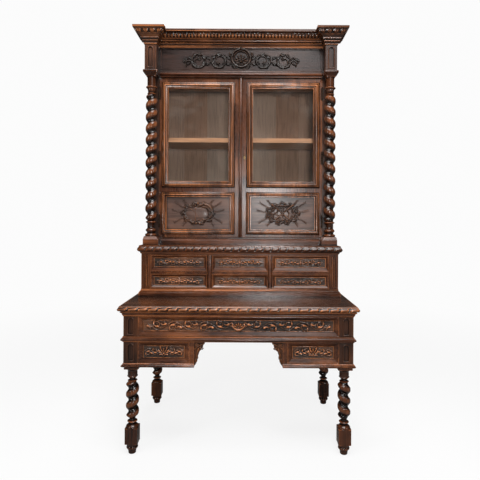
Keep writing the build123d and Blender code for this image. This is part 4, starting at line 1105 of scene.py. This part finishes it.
def area_light(name, place, target, size, power, tint=(1, 1, 1)):
    light = bpy.data.lights.new(name, "AREA")
    light.shape, light.size, light.size_y = "RECTANGLE", *size
    light.energy, light.color = power, tint
    lamp = new_object(name, light)
    lamp.location = place
    lamp.rotation_euler = (Vector(target) - Vector(place)).to_track_quat("-Z", "Y").to_euler()


def studio():
    mesh = bpy.data.meshes.new("floor")
    corners = [(-FLOOR, -FLOOR, 0), (FLOOR, -FLOOR, 0), (FLOOR, FLOOR, 0), (-FLOOR, FLOOR, 0)]
    mesh.from_pydata(corners, [], [(0, 1, 2, 3)])
    shader = Shader("pale_floor")
    place = shader.place()
    tone = shader.mix(shader.noise(place, 1.5, 3), (0.88, 0.88, 0.88, 1), (0.9, 0.9, 0.9, 1))
    seen = shader.add("LightPath").outputs["Is Camera Ray"]
    shader.paint({"Base Color": shader.mix(seen, (0.26, 0.25, 0.24, 1), tone), "Roughness": 0.9})
    away = shader.add("VectorMath", {0: place}, operation="LENGTH").outputs["Value"]
    glow = shader.add("Emission", {"Color": (1, 1, 1, 1), "Strength": WHITE})
    share = shader.math("MULTIPLY", seen, shader.spread(away, 0.8, 4.5, 0.86, 1.0))
    shader.blend(share, shader.surface.outputs[0], glow.outputs[0])
    mesh.materials.append(shader.material)
    floor = new_object("floor", mesh)

    world = bpy.data.worlds.new("studio")
    world.use_nodes = True
    sky = world.node_tree.nodes["Background"]
    seen = world.node_tree.nodes.new("ShaderNodeLightPath").outputs["Is Camera Ray"]
    strength = world.node_tree.nodes.new("ShaderNodeMapRange")
    strength.inputs["To Min"].default_value, strength.inputs["To Max"].default_value = 0.045, WHITE
    world.node_tree.links.new(seen, strength.inputs["Value"])
    world.node_tree.links.new(strength.outputs[0], sky.inputs["Strength"])
    sky.inputs["Color"].default_value = (1, 1, 1, 1)
    bpy.context.scene.world = world
    area_light("overhead", (0, -1.4, 4.2), (0, 0.2, 0.9), (3.0, 1.8), 105)
    area_light("top_front", (0.3, -2.3, 4.1), (0, 0, 1.1), (1.5, 1.0), 62)
    area_light("high_front", (0.7, -2.8, 3.3), (0.2, 0, 1.6), (0.9, 0.6), 9)
    area_light("left_window", (-2.9, -2.5, 1.9), (0, 0, 1.2), (0.5, 0.9), 27, (1, 0.97, 0.93))
    area_light("right_window", (2.9, -2.3, 1.8), (0, 0, 1.2), (0.4, 0.7), 15, (0.98, 0.98, 1))
    area_light("beside_camera", (0.32, -3.3, 1.45), (0.1, 0, 1.22), (0.5, 0.45), 44)
    area_light("behind", (0, 3.0, 4.3), (0, 0, 1.2), (2.0, 1.2), 80)


def camera():
    eye = bpy.data.cameras.new("camera")
    eye.sensor_width, eye.lens = 36, 32.08
    eye.shift_x, eye.shift_y = -0.0167, -0.044
    holder = new_object("camera", eye)
    holder.location = (0.0465, -2.545, 1.2305)
    holder.rotation_euler = (math.radians(90), math.radians(-0.3), 0)
    bpy.context.scene.camera = holder


studio()
camera()
bpy.context.scene.view_settings.view_transform = "Standard"
